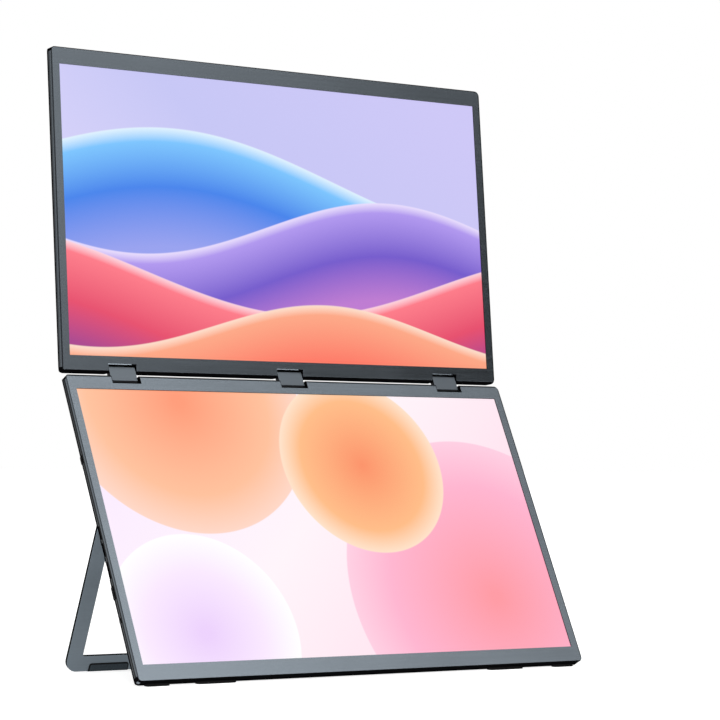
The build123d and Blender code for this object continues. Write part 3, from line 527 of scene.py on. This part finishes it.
def pad_rubber(name, colour, roughness, outer=1.0 * MM, soft=0.2 * MM):
    """Moulded pad rubber with a black outline of painted shade along its sides and its rounded top."""
    finish = Finish(name)
    fine = finish.noise(finish.place(), scale=900.0, detail=3.0)
    tint = finish.shades(fine, colour, (0.3, 0.85), (0.7, 1.15))
    across, away, _ = piece_parts(finish, STAND)
    offset = finish.math("ABSOLUTE", finish.math("SUBTRACT", finish.math("ABSOLUTE", across), PAD_CENTRE))
    beside = finish.math("MAXIMUM", finish.math("SUBTRACT", offset, PAD_HALF - PAD_CORNER), 0.0)
    above = finish.math("MAXIMUM", finish.math("SUBTRACT", STAND_LENGTH - PAD_HEIGHT + PAD_CORNER, away), 0.0)
    # Black painted shade along the pad's sides and rounded top
    rim = finish.past(finish.hypot(beside, above), PAD_CORNER - outer, soft)
    return finish.surface(
        Base_Color=finish.blend(rim, tint, SHADE_AND_BUTTON_BLACK),
        Roughness=roughness,
        Specular_IOR_Level=0.08,
        Normal=finish.bump(fine, 0.25),
    )


def circuit(name, colour):
    """Solder-masked board: tracks as fine bands under the mask."""
    finish = Finish(name)
    sockets = (("Scale", 900.0), ("Distortion", 1.5), ("Vector", finish.place()))
    tracks = finish.node("ShaderNodeTexWave", sockets, wave_type="BANDS", bands_direction="X").outputs["Fac"]
    return finish.surface(Base_Color=finish.shades(tracks, colour, (0.45, 0.8), (0.6, 1.5)), Roughness=0.4)


def light_guide(name, colour):
    """White light guide with its printed dots."""
    finish = Finish(name)
    sockets = (("Scale", 700.0), ("Randomness", 0.2), ("Vector", finish.place()))
    dots = finish.node("ShaderNodeTexVoronoi", sockets, feature="F1").outputs["Distance"]
    return finish.surface(Base_Color=finish.shades(dots, colour, (0.2, 0.8), (0.4, 1.0)), Roughness=0.5)


def light_pipe(name, colour):
    """Smoked moulded light pipe with a faint haze."""
    finish = Finish(name)
    haze = finish.noise(finish.place(), scale=1500.0)
    tint = finish.shades(haze, colour, (0.3, 0.85), (0.7, 1.0))
    return finish.surface(Base_Color=tint, Roughness=0.2, Specular_IOR_Level=0.6)


class Swell(NamedTuple):
    """Rolling swell of a picture, below the line y = level + swing * sin(rate * x + phase)."""

    level: float
    swing: float
    rate: float
    phase: float
    depth: float
    stops: tuple

    def distance(self, finish, x, y):
        """Height above the line, negative in the swell."""
        angle = finish.math("MULTIPLY_ADD", x, self.rate, self.phase)
        line = finish.math("MULTIPLY_ADD", finish.math("SINE", angle), self.swing, self.level)
        return finish.math("SUBTRACT", y, line)


class Disc(NamedTuple):
    """Disc of a picture, about the point (x, y)."""

    x: float
    y: float
    radius: float
    depth: float
    stops: tuple

    def distance(self, finish, x, y):
        """Distance from the rim, negative inside."""
        reach = finish.hypot(finish.math("SUBTRACT", x, self.x), finish.math("SUBTRACT", y, self.y))
        return finish.math("SUBTRACT", reach, self.radius)


class Picture(NamedTuple):
    """Soft shapes over a ground whose colours run along x + rise * y, from -reach to reach.

    x to the right and y up are in screen heights from the screen's centre. A shape's stops run from its edge
    inwards over its depth.
    """

    tilt: Tilt
    rise: float
    reach: float
    ground: tuple
    shapes: tuple


WAVES = Picture(
    UPPER, 1.0, 1.2, ((0.0, (222, 216, 252)), (0.5, (198, 198, 246)), (1.0, (206, 200, 248))),
    (
        Swell(0.16, 0.15, 2.3, 2.6, 0.42, (
            (0.0, (226, 244, 255)), (0.12, (120, 196, 255)), (0.5, (58, 128, 236)), (1.0, (150, 160, 240)))),
        Swell(-0.02, 0.12, 2.9, 0.2, 0.36, (
            (0.0, (236, 224, 255)), (0.10, (176, 150, 240)), (0.55, (112, 84, 204)), (1.0, (190, 120, 210)))),
        Swell(-0.20, 0.13, 2.5, -1.7, 0.34, (
            (0.0, (255, 214, 224)), (0.10, (255, 120, 134)), (0.6, (232, 70, 104)), (1.0, (170, 60, 140)))),
        Swell(-0.38, 0.09, 3.3, 1.0, 0.22, (
            (0.0, (255, 226, 206)), (0.16, (255, 168, 132)), (1.0, (255, 112, 92)))),
    ),
)
DISCS = Picture(
    LOWER, -1.0, 1.1, ((0.0, (250, 234, 255)), (0.45, (255, 244, 250)), (1.0, (255, 216, 232))),
    (
        Disc(0.62, -0.30, 0.62, 0.60, ((0.0, (255, 206, 226)), (0.3, (255, 178, 206)), (1.0, (255, 150, 160)))),
        Disc(-0.50, 0.46, 0.50, 0.48, ((0.0, (255, 214, 196)), (0.3, (255, 190, 150)), (1.0, (255, 150, 110)))),
        Disc(0.20, 0.22, 0.34, 0.34, ((0.0, (255, 226, 200)), (0.25, (255, 186, 128)), (1.0, (252, 140, 92)))),
        Disc(-0.62, -0.40, 0.36, 0.34, ((0.0, (255, 255, 255)), (0.4, (250, 232, 255)), (1.0, (236, 208, 252)))),
    ),
)


def screen_light(name, picture, centre, height, glow, edge=0.003):
    """Lit screen: a picture that shines from behind a satin front.

    Its shapes are laid over each other, each with a soft edge.
    """
    finish = Finish(name)
    middle = tuple(picture.tilt.place(0.0, centre, 0.0))
    x, y, _ = finish.parts(finish.place(middle, picture.tilt.rotation, (height,) * 3))
    slant = finish.math("MULTIPLY_ADD", y, picture.rise, x)
    canvas = finish.ramp(finish.span(slant, -picture.reach, picture.reach, smooth=False), tones(picture.ground))
    for shape in picture.shapes:
        distance = shape.distance(finish, x, y)
        inward = finish.span(finish.math("MULTIPLY", distance, -1.0), 0.0, shape.depth, smooth=False)
        inside = finish.span(distance, -edge, edge, 1.0, 0.0)
        canvas = finish.blend(inside, canvas, finish.ramp(inward, tones(shape.stops)))
    return finish.surface(
        Base_Color=(0.01, 0.01, 0.012, 1.0),
        Roughness=0.35,
        Specular_IOR_Level=0.3,
        Emission_Color=canvas,
        Emission_Strength=glow,
    )


def rounded_section(corners, radius, steps=6):
    """Closed section with its corners rounded.

    A corner C becomes the curve (1-t)^2 A + 2t(1-t) C + t^2 B, with A and B a radius from C on its two edges.
    """
    corner = np.array(corners, float)
    before = np.roll(corner, 1, axis=0) - corner
    after = np.roll(corner, -1, axis=0) - corner
    first = corner + before * (radius / np.hypot(*before.T))[:, None]
    last = corner + after * (radius / np.hypot(*after.T))[:, None]
    t = np.linspace(0.0, 1.0, steps)[None, :, None]
    curves = (1 - t) ** 2 * first[:, None] + 2 * t * (1 - t) * corner[:, None] + t ** 2 * last[:, None]
    return curves.reshape(-1, 2)


def strip_section(along, depth, radius):
    """Rounded oblong section between two places along a piece and two depths."""
    (near, far), (front, back) = along, depth
    return rounded_section([(near, front), (near, back), (far, back), (far, front)], radius)


def soft_bar(tilt, section, middle, start, end, power, top=0.0, crown=0.0, slices=49):
    """Grid of a bar across a piece: its section scaled about its middle by (1 - |r|^p)^(1/p).

    r goes from -1 to 1 along the bar, and p is the power. The slices crowd towards the ends, at
    r = 1 - (1 - q)^3 for even steps of q. A crown is the radius of the two corners at the bar's top edge, towards
    which the section is lowered by crown - sqrt(crown^2 - s^2), with s the reach past the crown's start.
    """
    q = np.linspace(-1.0, 1.0, slices)
    r = np.sign(q) * (1.0 - (1.0 - np.abs(q)) ** 3)
    scale = (1.0 - np.abs(r) ** power) ** (1 / power)
    half = (end - start) / 2
    local = middle + scale[:, None, None] * (section[None] - middle)
    along, depth = local[..., 0], local[..., 1]
    if crown:
        past = np.clip(np.abs(r) * half - (half - crown), 0.0, crown)
        drop = crown - np.sqrt(crown ** 2 - past ** 2)
        share = np.clip((middle[0] - along) / (middle[0] - top), 0.0, 1.0)
        along = along + share * drop[:, None]
    across = (start + end) / 2 + half * np.broadcast_to(r[:, None], along.shape)
    return tilt.place(across, along, depth)


def screw_head(tilt, x, y, seat, top, radius, rings=30, around=64):
    """Grid of a flush screw head: a disc with a rounded rim, whose face sinks by half its height in a cross.

    An arm of the cross fades out from 0.14 to 0.20 radii across it, and from 0.52 to 0.60 radii along it.
    """
    ring = np.concatenate((np.linspace(0.0, 0.97, rings), (1.0, 1.0, 0.0)))[:, None] * radius
    turn = np.linspace(0.0, 2 * pi, around, endpoint=False)
    u, v = ring * np.cos(turn), ring * np.sin(turn)

    def arm(a, b):
        inside = np.clip((0.20 * radius - np.abs(a)) / (0.06 * radius), 0, 1)
        return inside * np.clip((0.60 * radius - np.abs(b)) / (0.08 * radius), 0, 1)

    face = top - 0.5 * (top - seat) * np.maximum(arm(u, v), arm(v, u))
    face[rings:rings + 1] = top - 0.05 * (top - seat)
    face[rings + 1:] = seat
    return tilt.place(x + u, y + v, face)


def closed_mesh(name, *grids):
    """Object of grids that close around their columns and end in a pole at the first and last row."""
    points, faces, count = [], [], 0
    for grid in grids:
        rows, around = grid.shape[0] - 2, grid.shape[1]
        ring = np.arange(around)
        turn = np.roll(ring, -1)
        first = count + 1 + np.arange(rows - 1)[:, None] * around
        last = count + 1 + rows * around
        quads = np.stack((first + ring, first + turn, first + around + turn, first + around + ring), axis=-1)
        start_cap = np.stack((np.full_like(ring, count), count + 1 + turn, count + 1 + ring), axis=-1)
        end_cap = np.stack((np.full_like(ring, last), last - around + ring, last - around + turn), axis=-1)
        vertices = np.concatenate((grid[:1, 0], grid[1:-1].reshape(-1, 3), grid[-1:, 0]))
        corners = vertices[quads.reshape(-1, 4)[:, :3] - count] - vertices.mean(axis=0)
        turned = np.einsum("ij,ij->i", corners[:, 0], np.cross(corners[:, 1], corners[:, 2])).sum() < 0
        for block in (quads.reshape(-1, 4), start_cap, end_cap):
            faces.extend((block[:, ::-1] if turned else block).tolist())
        points.append(vertices)
        count = last + 1
    mesh = bpy.data.meshes.new(name)
    mesh.from_pydata(np.concatenate(points).tolist(), [], faces)
    mesh.polygons.foreach_set("use_smooth", np.ones(len(mesh.polygons), bool))
    mesh.update()
    made = bpy.data.objects.new(name, mesh)
    bpy.context.scene.collection.objects.link(made)
    return made


def settle(made, material, body, node=None):
    """Let a new piece ride on a body, in the place of a CAD node where one is named."""
    made.data.materials.append(material)
    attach(made, body)
    if node:
        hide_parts(node)


def dress(material, *nodes):
    """Give CAD nodes a material."""
    for node in nodes:
        mesh = NODES[node].data
        mesh.materials.clear()
        mesh.materials.append(material)


def of_slot(slot):
    """CAD nodes that take their finish from a material slot."""
    nodes = [node for node, own in SLOTS.items() if own == slot]
    if not nodes:
        raise LookupError(f"no node has the slot {slot}")
    return nodes


class MonitorCaseSettings(bpy.types.PropertyGroup):
    """Finishes of the metal cases, links and stand."""

    bezel: FloatVectorProperty(
        name="Bezel", description="Colour of the anodised front frames", subtype="COLOR",
        default=(0.180, 0.208, 0.2355), min=0.0, max=1.0)
    shell: FloatVectorProperty(
        name="Shell", description="Colour of the anodised rear shells", subtype="COLOR",
        default=(0.045, 0.050, 0.055), min=0.0, max=1.0)
    stand: FloatVectorProperty(
        name="Stand", description="Colour of the stand's plate", subtype="COLOR",
        default=(0.160, 0.190, 0.217), min=0.0, max=1.0)
    link: FloatVectorProperty(
        name="Link", description="Colour of the hinge covers", subtype="COLOR",
        default=(0.113, 0.129, 0.145), min=0.0, max=1.0)
    roughness: FloatProperty(
        name="Roughness", description="Roughness of the cases' satin finish", subtype="FACTOR",
        default=0.24, min=0.0, max=1.0)
    link_roughness: FloatProperty(
        name="Link Roughness", description="Roughness of the hinge covers", subtype="FACTOR",
        default=0.5, min=0.0, max=1.0)


class MonitorRubberSettings(bpy.types.PropertyGroup):
    """Rubber feet, hinge strips and pads."""

    foot: FloatVectorProperty(
        name="Foot", description="Colour of the feet and the hinge strips", subtype="COLOR",
        default=(0.004, 0.004, 0.0045), min=0.0, max=1.0)
    pad: FloatVectorProperty(
        name="Pad", description="Colour of the stand's pads", subtype="COLOR",
        default=(0.037, 0.049, 0.059), min=0.0, max=1.0)
    heel: FloatProperty(
        name="Heel", description="Height of the feet at their back", unit="LENGTH", default=0.6 * MM, min=0.0)
    rounding: FloatProperty(
        name="Rounding", description="Radius of the feet's and strips' edges", unit="LENGTH",
        default=0.25 * MM, min=0.0)


class MonitorScreenSettings(bpy.types.PropertyGroup):
    """Light and place of the two screens."""

    height: FloatProperty(
        name="Height", description="Height of the lit area", unit="LENGTH", default=SCREEN_HEIGHT, min=0.01)
    upper_centre: FloatProperty(
        name="Upper Centre", description="Lit area's centre from the upper hinge edge", unit="LENGTH",
        default=UPPER_MARGIN + SCREEN_HEIGHT / 2, min=0.0)
    lower_centre: FloatProperty(
        name="Lower Centre", description="Lit area's centre from the lower hinge edge", unit="LENGTH",
        default=LOWER_MARGIN + SCREEN_HEIGHT / 2, min=0.0)
    glow: FloatProperty(name="Glow", description="Strength of the screens' own light", default=0.96, min=0.0)


class MonitorStageSettings(bpy.types.PropertyGroup):
    """Camera, floor and light."""

    eye: FloatVectorProperty(
        name="Eye", description="Place of the camera", subtype="TRANSLATION", unit="LENGTH",
        default=(-1.036890, -1.508635, 0.157629))
    turn: FloatVectorProperty(
        name="Turn", description="Turn of the camera", subtype="EULER", unit="ROTATION",
        default=(radians(91.5856), radians(-0.8562), radians(-35.3705)))
    lens: FloatProperty(
        name="Lens", description="Focal length of the camera", unit="CAMERA", default=135.3505, min=1.0)
    floor: FloatProperty(name="Floor", description="Width of the floor", unit="LENGTH", default=16.0, min=1.0)


class MonitorSettings(bpy.types.PropertyGroup):
    """Everything that a user would change."""

    case: PointerProperty(type=MonitorCaseSettings)
    rubber: PointerProperty(type=MonitorRubberSettings)
    screen: PointerProperty(type=MonitorScreenSettings)
    stage: PointerProperty(type=MonitorStageSettings)


class MonitorOperator:
    """What the monitor's operators share."""

    bl_options = {"REGISTER", "UNDO"}

    def execute(self, context):
        self.make(context.scene.monitor)
        return {"FINISHED"}


class MONITOR_OT_cases(MonitorOperator, bpy.types.Operator):
    """Finish the bezels, shells, links and stand in anodised metal"""

    bl_idname = "monitor.cases"
    bl_label = "Finish Cases"

    def make(self, settings):
        case = settings.case
        for display in DISPLAYS:
            name, tilt = display.name, display.tilt
            rim = bezel_light_and_shade(display, case.bezel)
            walls = shell_light_and_shade(display, case.bezel)
            dress(anodised(f"{name}_bezel_satin", case.bezel, case.roughness, tilt, rim), f"{name}_front_bezel")
            dress(anodised(f"{name}_shell_satin", case.shell, case.roughness, tilt, walls), f"{name}_rear_shell")
        plate = stand_light_and_shade(case.stand)
        dress(anodised("stand_satin", case.stand, case.roughness, STAND, plate, metal=0.5), "kickstand_frame")
        # Black painted shade on the hinge covers' side faces
        cover = plate_edge_shade(LOWER, COVER_FRONT, COVER_BACK)
        dress(anodised("link_matte", case.link, case.link_roughness, LOWER, cover), *of_slot("link_alloy"))


class MONITOR_OT_screens(MonitorOperator, bpy.types.Operator):
    """Light both screens with a plain abstract picture"""

    bl_idname = "monitor.screens"
    bl_label = "Light Screens"

    def make(self, settings):
        screen = settings.screen
        for name, picture, centre in (
            ("upper", WAVES, screen.upper_centre),
            ("lower", DISCS, screen.lower_centre),
        ):
            light = screen_light(f"{name}_screen_light", picture, centre, screen.height, screen.glow)
            dress(light, f"{name}_lcd_panel")


class MONITOR_OT_fittings(MonitorOperator, bpy.types.Operator):
    """Finish the steel, plastic and inner pieces"""

    bl_idname = "monitor.fittings"
    bl_label = "Finish Fittings"

    def make(self, settings):
        for slot, finish in (
            ("hinge_steel", steel("hinge_steel_black", STEEL_BLACK, STEEL_ROUGHNESS)),
            # Port steel made near black: painted shade standing for the ports' dark openings
            ("port_steel", steel("port_steel_shade_black", (0.004, 0.004, 0.0045), 0.45)),
            ("button_plastic", moulded("button_plastic_black", SHADE_AND_BUTTON_BLACK, 0.5, 1400.0, specular=0.05)),
            ("chip_black", moulded("chip_black_resin", (0.015, 0.015, 0.015), 0.55, 700.0)),
            ("circuit_board", circuit("board_mask_green", (0.02, 0.10, 0.05))),
            ("light_guide", light_guide("light_guide_white", (0.82, 0.82, 0.83))),
            ("light_pipe", light_pipe("status_pipe_smoked", (0.02, 0.02, 0.024))),
        ):
            dress(finish, *of_slot(slot))


class MONITOR_OT_feet(MonitorOperator, bpy.types.Operator):
    """Mould the rounded feet of the lower display"""

    bl_idname = "monitor.feet"
    bl_label = "Mould Feet"

    def make(self, settings):
        rubber = settings.rubber
        black = black_rubber(rubber.foot)
        root = LOWER_HEIGHT - FOOT_ROOT
        toe = rubber.heel + (FOOT_BACK - FOOT_FRONT) * tan(radians(LOWER_LEAN))
        section = rounded_section([
            (root, FOOT_FRONT), (root, FOOT_BACK),
            (LOWER_HEIGHT + rubber.heel, FOOT_BACK), (LOWER_HEIGHT + toe, FOOT_FRONT),
        ], rubber.rounding)
        middle = np.array((LOWER_HEIGHT, FOOT_MIDDLE))
        for name, (near, far), side, shift in (
            ("outer_left", FOOT_OUTER, -1, 0.0), ("inner_left", FOOT_INNER, -1, FOOT_INNER_SHIFT),
            ("inner_right", FOOT_INNER, 1, FOOT_INNER_SHIFT), ("outer_right", FOOT_OUTER, 1, 0.0),
        ):
            start, end = sorted((shift + side * near, shift + side * far))
            foot = closed_mesh(f"foot_{name}", soft_bar(LOWER, section, middle, start, end, FOOT_POWER))
            settle(foot, black, "lower_display", f"front_foot_{name}")


class MONITOR_OT_strips(MonitorOperator, bpy.types.Operator):
    """Fit black rubber strips in the upper notches and under the hinge links, as painted shade in the gaps there
    """

    bl_idname = "monitor.strips"
    bl_label = "Fit Hinge Strips"

    def make(self, settings):
        rubber = settings.rubber
        black = black_rubber(rubber.foot)
        for name, tilt, body, half, along, depth in (
            ("notch_shade_strip", UPPER, "upper_display", NOTCH_STRIP_HALF, NOTCH_STRIP_ALONG, NOTCH_STRIP_DEPTH),
            ("link_shade_strip", LOWER, "hinge_links", LINK_STRIP_HALF, LINK_STRIP_ALONG, LINK_STRIP_DEPTH),
        ):
            section = strip_section(along, depth, rubber.rounding)
            for side, place in (("left", -LINK_SPACING), ("centre", 0.0), ("right", LINK_SPACING)):
                grid = soft_bar(tilt, section, section.mean(axis=0), place - half, place + half, STRIP_POWER)
                settle(closed_mesh(f"{name}_{side}", grid), black, body)


class MONITOR_OT_pads(MonitorOperator, bpy.types.Operator):
    """Mould the pads that wrap round the bottom edge of the stand"""

    bl_idname = "monitor.pads"
    bl_label = "Mould Stand Pads"

    def make(self, settings):
        slate = pad_rubber("pad_rubber_slate", settings.rubber.pad, 0.55)
        top = STAND_LENGTH - PAD_HEIGHT
        toe = PAD_LIP - (PAD_BACK - PAD_FRONT) * tan(radians(-STAND_LEAN))
        section = rounded_section([
            (top, PAD_FRONT), (top, PAD_INSIDE), (STAND_LENGTH, PAD_INSIDE), (STAND_LENGTH, PAD_BACK),
            (STAND_LENGTH + PAD_LIP, PAD_BACK), (STAND_LENGTH + toe, PAD_FRONT),
        ], PAD_ROUNDING)
        elbow = np.array((STAND_LENGTH, 0.0)) + PAD_ELBOW
        for side, middle in (("left", -PAD_CENTRE), ("right", PAD_CENTRE)):
            start, end = middle - PAD_HALF, middle + PAD_HALF
            grid = soft_bar(STAND, section, elbow, start, end, PAD_POWER, top, PAD_CORNER)
            settle(closed_mesh(f"pad_{side}", grid), slate, "kickstand", f"kickstand_pad_{side}")


class MONITOR_OT_screws(MonitorOperator, bpy.types.Operator):
    """Cut the cross recesses of the stand hinges' screws"""

    bl_idname = "monitor.screws"
    bl_label = "Cut Screws"

    def make(self, settings):
        along = LEAF_SHARE * LOWER_HEIGHT - LEAF_SCREW_DROP
        heads = [
            screw_head(LOWER, leaf + reach, along, SCREW_SEAT, SCREW_TOP, SCREW_RADIUS)
            for leaf in (-LEAF_SPACING, LEAF_SPACING) for reach in (-LEAF_SCREW_REACH, LEAF_SCREW_REACH)
        ]
        black = steel("leaf_screw_black", STEEL_BLACK, STEEL_ROUGHNESS)
        settle(closed_mesh("leaf_screws", *heads), black, "lower_display", "stand_leaf_screws")


# Soft boxes: name, place, size and power
LIGHTS = (
    ("key_box", (-0.7, -1.3, 1.9), (1.2, 0.9), 22),
    ("top_box", (0.5, -0.6, 2.2), (1.6, 1.2), 16),
)
LIGHT_AIM = (0, 0, 0.2)

# Room in reflections: spans of a direction's slant, x or height, and the brightness from one end to the other
ROOM_SLANT = -0.77
WALL_RISE = (0.07, 0.28, 0.5, 1.0)
WALL_FALL = (0.28, 0.394, 1.0, 0.0)
WALL_TOP = (0.377, 0.55, 1.0, 0.0)
CEILING_ACROSS = (0.546, 0.573, 2.92, 0.75)
CEILING_FOOT = (0.377, 0.55, 0.0, 1.0)
CEILING_TOP = (0.569, 0.815, 1.0, 0.05)
ROOM_LIGHT = 0.5

# Floor: its own light near the object, what the eye adds to it, and where it has faded to plain white
FLOOR_GLOW = 0.58
FLOOR_SEEN = 0.22
FLOOR_FADE = (0.5, 1.6)


def area_light(name, place, size, power):
    """Soft box at a place, facing the object."""
    data = bpy.data.lights.new(name, "AREA")
    data.shape = "RECTANGLE"
    data.size, data.size_y = size
    data.energy = power
    data.specular_factor = 0.1
    lamp = bpy.data.objects.new(name, data)
    lamp.location = place
    lamp.rotation_euler = (Vector(LIGHT_AIM) - Vector(place)).to_track_quat("-Z", "Y").to_euler()
    bpy.context.scene.collection.objects.link(lamp)


def studio_world():
    """White room: plain white to the eye, softer on the object, and falling off to the right in reflections."""
    world = bpy.data.worlds.new("white_room")
    world.use_nodes = True
    room = Nodes(world.node_tree)
    path = room.node("ShaderNodeLightPath").outputs
    x, _, z = room.parts(room.node("ShaderNodeTexCoord").outputs["Generated"])
    slant = room.math("MULTIPLY_ADD", z, ROOM_SLANT, x)
    wall = room.both(room.span(slant, *WALL_RISE), room.span(slant, *WALL_FALL), room.span(z, *WALL_TOP))
    ceiling = room.both(room.span(x, *CEILING_ACROSS), room.span(z, *CEILING_FOOT), room.span(z, *CEILING_TOP))
    glossy = path["Is Glossy Ray"]
    seen = room.either(path["Is Camera Ray"], path["Is Transmission Ray"])
    mirrored = room.math("MULTIPLY", glossy, room.math("ADD", wall, ceiling))
    rest = room.math("MULTIPLY", room.outside(room.either(seen, glossy)), ROOM_LIGHT)
    back = room.tree.nodes["Background"]
    room.put(back.inputs["Strength"], room.math("ADD", room.math("ADD", seen, mirrored), rest))
    room.put(back.inputs["Color"], (1.0, 1.0, 1.0, 1.0))
    bpy.context.scene.world = world


def floor_finish():
    """Pale floor: white to the eye where light falls on it, with the object's shadow kept."""
    finish = Finish("floor_white")
    place = finish.place()
    reach = finish.node("ShaderNodeVectorMath", [(0, place)], operation="LENGTH").outputs["Value"]
    path = finish.node("ShaderNodeLightPath").outputs
    seen = finish.either(path["Is Camera Ray"], path["Is Glossy Ray"], path["Is Transmission Ray"])
    near = finish.math("MULTIPLY_ADD", seen, FLOOR_SEEN, FLOOR_GLOW)
    far = finish.span(reach, *FLOOR_FADE)
    cloud = finish.noise(place, scale=3.0)
    return finish.surface(
        Base_Color=finish.shades(cloud, (1.0, 1.0, 1.0), (0.3, 0.60), (0.7, 0.62)),
        Roughness=0.9,
        Specular_IOR_Level=0.0,
        Emission_Color=(1.0, 1.0, 1.0, 1.0),
        Emission_Strength=finish.math("MULTIPLY_ADD", far, finish.outside(near), near),
    )


class MONITOR_OT_stage(MonitorOperator, bpy.types.Operator):
    """Set the camera, the pale floor and the soft studio light"""

    bl_idname = "monitor.stage"
    bl_label = "Set Stage"

    def make(self, settings):
        stage = settings.stage
        scene = bpy.context.scene
        scene.view_settings.view_transform = "Standard"
        data = bpy.data.cameras.new("camera")
        data.lens = stage.lens
        data.sensor_width = 36.0
        data.clip_end = 50.0
        camera = bpy.data.objects.new("camera", data)
        camera.location = stage.eye
        camera.rotation_euler = stage.turn
        scene.collection.objects.link(camera)
        scene.camera = camera
        half = stage.floor / 2
        corners = [(-half, -half, 0), (half, -half, 0), (half, half, 0), (-half, half, 0)]
        mesh = bpy.data.meshes.new("floor")
        mesh.from_pydata(corners, [], [(0, 1, 2, 3)])
        floor = bpy.data.objects.new("floor", mesh)
        mesh.materials.append(floor_finish())
        scene.collection.objects.link(floor)
        for light in LIGHTS:
            area_light(*light)
        studio_world()


class MONITOR_PT_panel(bpy.types.Panel):
    """Sidebar panel with the monitor's settings and steps"""

    bl_idname = "MONITOR_PT_panel"
    bl_label = "Monitor"
    bl_space_type = "VIEW_3D"
    bl_region_type = "UI"
    bl_category = "Monitor"

    def draw(self, context):
        settings = context.scene.monitor
        for group in (settings.case, settings.rubber, settings.screen, settings.stage):
            for key in group.__annotations__:
                self.layout.prop(group, key)
        for step in STEPS:
            self.layout.operator(step.bl_idname)


STEPS = (
    MONITOR_OT_cases, MONITOR_OT_screens, MONITOR_OT_fittings, MONITOR_OT_feet, MONITOR_OT_strips, MONITOR_OT_pads,
    MONITOR_OT_screws, MONITOR_OT_stage,
)
GROUPS = (MonitorCaseSettings, MonitorRubberSettings, MonitorScreenSettings, MonitorStageSettings, MonitorSettings)
CLASSES = (*GROUPS, *STEPS, MONITOR_PT_panel)


def register():
    for cls in CLASSES:
        bpy.utils.register_class(cls)
    bpy.types.Scene.monitor = PointerProperty(type=MonitorSettings)


def unregister():
    del bpy.types.Scene.monitor
    for cls in reversed(CLASSES):
        bpy.utils.unregister_class(cls)


def main():
    register()
    bpy.ops.monitor.cases()
    bpy.ops.monitor.screens()
    bpy.ops.monitor.fittings()
    bpy.ops.monitor.feet()
    bpy.ops.monitor.strips()
    bpy.ops.monitor.pads()
    bpy.ops.monitor.screws()
    bpy.ops.monitor.stage()


if __name__ == "__main__":
    main()
